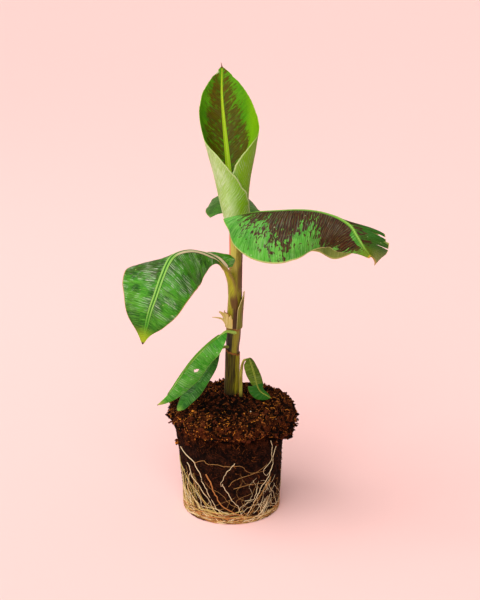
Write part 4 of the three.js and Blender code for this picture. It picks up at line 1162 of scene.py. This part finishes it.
def fibre_heap(points, normals, source):
    """Thin bowed fibres that lie on the ball's surface."""
    heap = Heap()
    for _ in range(FIBRES):
        spot = somewhere(source, 0.3, 0.68)
        centre, normal = points[spot], normals[spot]
        high = over_collar(centre) > -2
        if centre[2] < MAT_TOP or (not high and source.random() < 0.6):
            continue
        heading = unit(np.cross(normal, [source.uniform(-1, 1) for _ in range(3)]))
        length = source.uniform(2.5, 9)
        across = np.cross(normal, heading)
        bow = source.uniform(-0.25, 0.25) * length
        path = [centre + heading * length * (t - 0.5) + across * bow * (1 - (2 * t - 1) ** 2)
                + normal * (0.5 - 0.8 * (2 * t - 1) ** 2) for t in QUARTERS]
        body, faces = tube(path, source.uniform(0.1, 0.26), 4)
        inner = math.hypot(centre[0], centre[1]) < 34
        warm = 1 + 2 * warmth(centre)
        heap.add(body, faces, pick(source, (3, 3, 3, 1.2 * warm) if high and not inner else (3, 4, 1, 0)))
    return heap


def root_ball_pieces():
    """The crumbly core, the crumbs and the fibres."""
    tones = [plain_material("crumb_" + name, tone) for name, tone in (
        ("dark", "0a0402"), ("brown", "4c220f"), ("tan", "8c5022"), ("orange", "d8862c"), ("pale", "cdb89c"))]
    points, normals = ball_surface()
    x, y, height = points.T
    under = collar_under(np.arctan2(y, x))
    # Where shade is painted: a band just under the collar, and the hollow on the top.
    shade = pit(height - under + 2, 3) * (np.hypot(x, y) < BALL_WAIST_RADIUS + 2)
    shade = np.maximum(shade, 0.8 * pit(from_hollow(x, y), 17) * (height > COLLAR_TOP))
    core = make_piece("compost_core", points, closed_rings(BALL_ROWS, BALL_SIDES), [compost_material()],
                      None, True, {"shade": shade})
    dress(core, "compost", "root_ball")
    source = random.Random(21)
    dress(crumb_heap(points, normals, source).piece("compost_crumbs", tones, False), "compost")
    dress(fibre_heap(points, normals, source).piece("compost_fibres", tones), "compost")


def strand(path, start, end):
    """A root on the ball's side through (angle, height) places, in degrees and millimetres."""
    curve, length = curve_through([[angle / 10, height, 0] for angle, height in path])
    s = np.linspace(0, 1, max(int(length / 1.2), 8))
    places = curve(s)
    run = s * length
    wander = np.sin(run / 2.3 + path[0][0]) + 0.5 * np.sin(run / 0.9 + 3 * path[0][1])
    drift = np.sin(run / 3.1 + 2 * path[0][1]) + 0.5 * np.sin(run / 1.1 + path[0][0])
    angle = (places[:, 0] * 10 + 0.7 * wander) * DEGREE
    height = np.maximum(places[:, 1] + 0.6 * drift * np.clip(places[:, 1] / 6, 0, 1), start)
    radii = start + (end - start) * s
    points = ring_points(np.zeros(2), side_radius(angle, height) + radii * 0.35, angle, height)
    return tube(points, radii, 6)


def root_pieces():
    """The matted roots round the foot, and the ones that wander up the side."""
    tones = [plain_material("root_" + name, tone, roughness) for name, tone, roughness in (
        ("cream", "e0cba0", 0.7), ("tan", "a87c48", 0.7), ("orange", "b07440", 0.7), ("brown", "5c3a22", 0.8),
        ("yellow", "bca460", 0.7))]
    source = random.Random(33)
    heap = Heap()
    for _ in range(MAT_ROOTS):
        start = source.uniform(0, 360)
        span = source.uniform(12, 60) * source.choice((-1, 1))
        leftward = max(0.0, math.cos((start - 212) * DEGREE)) ** 3
        high = 1.5 + (5 + 9 * leftward) * source.random() ** 1.4
        path = [(start + span * t, max(0.8, high + source.uniform(-2.5, 2.5))) for t in QUARTERS]
        size = source.uniform(0.2, 0.6)
        heap.add(*strand(path, size, size * 0.7), pick(source, (3, 3, 3, 5, 1 + 6 * leftward)))
    for _ in range(THIN_ROOTS):
        angle, height = source.uniform(0, 360), source.uniform(2, 10)
        climb = source.uniform(8, 50)
        drift = source.uniform(-50, 50)
        path = [(angle + drift * t + source.uniform(-5, 5),
                 height + climb * t + source.uniform(-3, 3) * (t > 0)) for t in (0, 0.2, 0.4, 0.6, 0.8, 1)]
        size = source.uniform(0.14, 0.28)
        heap.add(*strand(path, size, size * 0.6), pick(source, (6, 4, 0, 1)))
    fans = [(30, (182, 222), (6, 32), (18, 56), 0.5, (5, 4, 0, 0, 4)),
            (8, (300, 330), (-30, -8), (18, 50), 0.4, (4, 4, 2))]
    for count, sides, leans, heads, thickest, weights in fans:
        for _ in range(count):
            angle, lean, head = (source.uniform(*limits) for limits in (sides, leans, heads))
            path = [(angle + lean * t + source.uniform(-2, 2), head + (6 - head) * t)
                    for t in QUARTERS]
            size = source.uniform(0.15, thickest)
            heap.add(*strand(path, size * 0.6, size), pick(source, weights))
    shown = [([(200, 73), (207, 71), (225, 66), (238, 42), (252, 19), (262, 8)], 0.45, 0),
             ([(184, 57), (211, 42), (228, 30), (248, 16), (262, 6)], 0.5, 4),
             ([(213, 60), (222, 46), (241, 29), (252, 12)], 0.4, 0),
             ([(217, 50), (211, 33), (217, 18), (222, 8)], 0.4, 0),
             ([(242, 56), (249, 41), (255, 27), (267, 17), (285, 8)], 0.75, 2),
             ([(226, 65), (239, 71), (245, 67), (255, 68), (265, 66), (279, 67), (292, 58), (312, 56)],
              0.3, 1),
             ([(275, 71), (268, 64), (263, 55), (258, 48), (260, 44)], 0.35, 0),
             ([(267, 44), (279, 53), (292, 56), (314, 63)], 0.28, 1),
             ([(272, 41), (289, 44), (308, 42), (324, 40)], 0.28, 1),
             ([(260, 47), (267, 35), (276, 22), (284, 10)], 0.4, 0),
             ([(286, 27), (296, 27), (300, 36), (303, 46)], 0.25, 0),
             ([(331, 84), (324, 69), (320, 54), (308, 40), (298, 25), (290, 10)], 0.42, 0),
             ([(319, 88), (320, 76), (319, 64), (309, 58), (313, 50), (322, 56)], 0.35, 0),
             ([(320, 47), (314, 37), (303, 28), (294, 18), (284, 6)], 0.45, 1)]
    for path, size, kind in shown:
        heap.add(*strand(path, size, size * 0.6), kind)
    dress(heap.piece("root_mat", tones), "roots", "root_net")


# Floor, light and camera

def floor_piece():
    bpy.ops.mesh.primitive_grid_add(x_subdivisions=4, y_subdivisions=4, size=FLOOR_SIZE)
    floor = bpy.context.object
    floor.name = "floor"
    shader = Shader("backdrop", 0.85, 0.1)
    shader.colour = "fed3d0"
    floor.data.materials.append(shader.finish())


def add_light(name, kind, energy):
    data = bpy.data.lights.new(name, kind)
    data.energy = energy
    light = bpy.data.objects.new(name, data)
    bpy.context.scene.collection.objects.link(light)
    return light


def window_light(name, energy, spread, tilt):
    """Even light from far away; tilt turns it about X and then about Y."""
    light = add_light(name, "SUN", energy)
    light.data.angle = spread * DEGREE
    light.data.color = (1.0, 1.0, 0.97)
    light.rotation_euler = (tilt[0] * DEGREE, tilt[1] * DEGREE, 0)


def sheen_light(place, target):
    """A soft round light behind the plant, for the shine on its leaves."""
    light = add_light("sheen", "AREA", 4)
    light.data.shape = "DISK"
    light.data.size = 1.0
    light.location = place
    light.rotation_euler = (Vector(target) - Vector(place)).to_track_quat("-Z", "Y").to_euler()


def studio():
    world = bpy.data.worlds.new("soft_room")
    world.use_nodes = True
    back = world.node_tree.nodes["Background"]
    back.inputs["Color"].default_value = (1.0, 0.8, 0.75, 1.0)
    back.inputs["Strength"].default_value = 0.38
    bpy.context.scene.world = world
    bpy.context.scene.view_settings.view_transform = "Standard"
    window_light("left_window", 1.4, 45, (12, -34))
    window_light("front_window", 2.1, 50, (52, -12))
    sheen_light((-1.2, 0.6, 1.5), (0, 0, 0.25))


def photo_camera():
    data = bpy.data.cameras.new("photo_view")
    data.lens = LENS
    data.sensor_width = SENSOR_WIDTH
    data.dof.use_dof = False
    camera = bpy.data.objects.new("photo_view", data)
    camera.location = CAMERA_PLACE
    camera.rotation_euler = (CAMERA_TILT * DEGREE, 0, 0)
    bpy.context.scene.collection.objects.link(camera)
    bpy.context.scene.camera = camera


leaf_pieces()
scroll_piece()
stalk_pieces()
stem_piece()
sheath_pieces()
root_ball_pieces()
root_pieces()
floor_piece()
studio()
photo_camera()
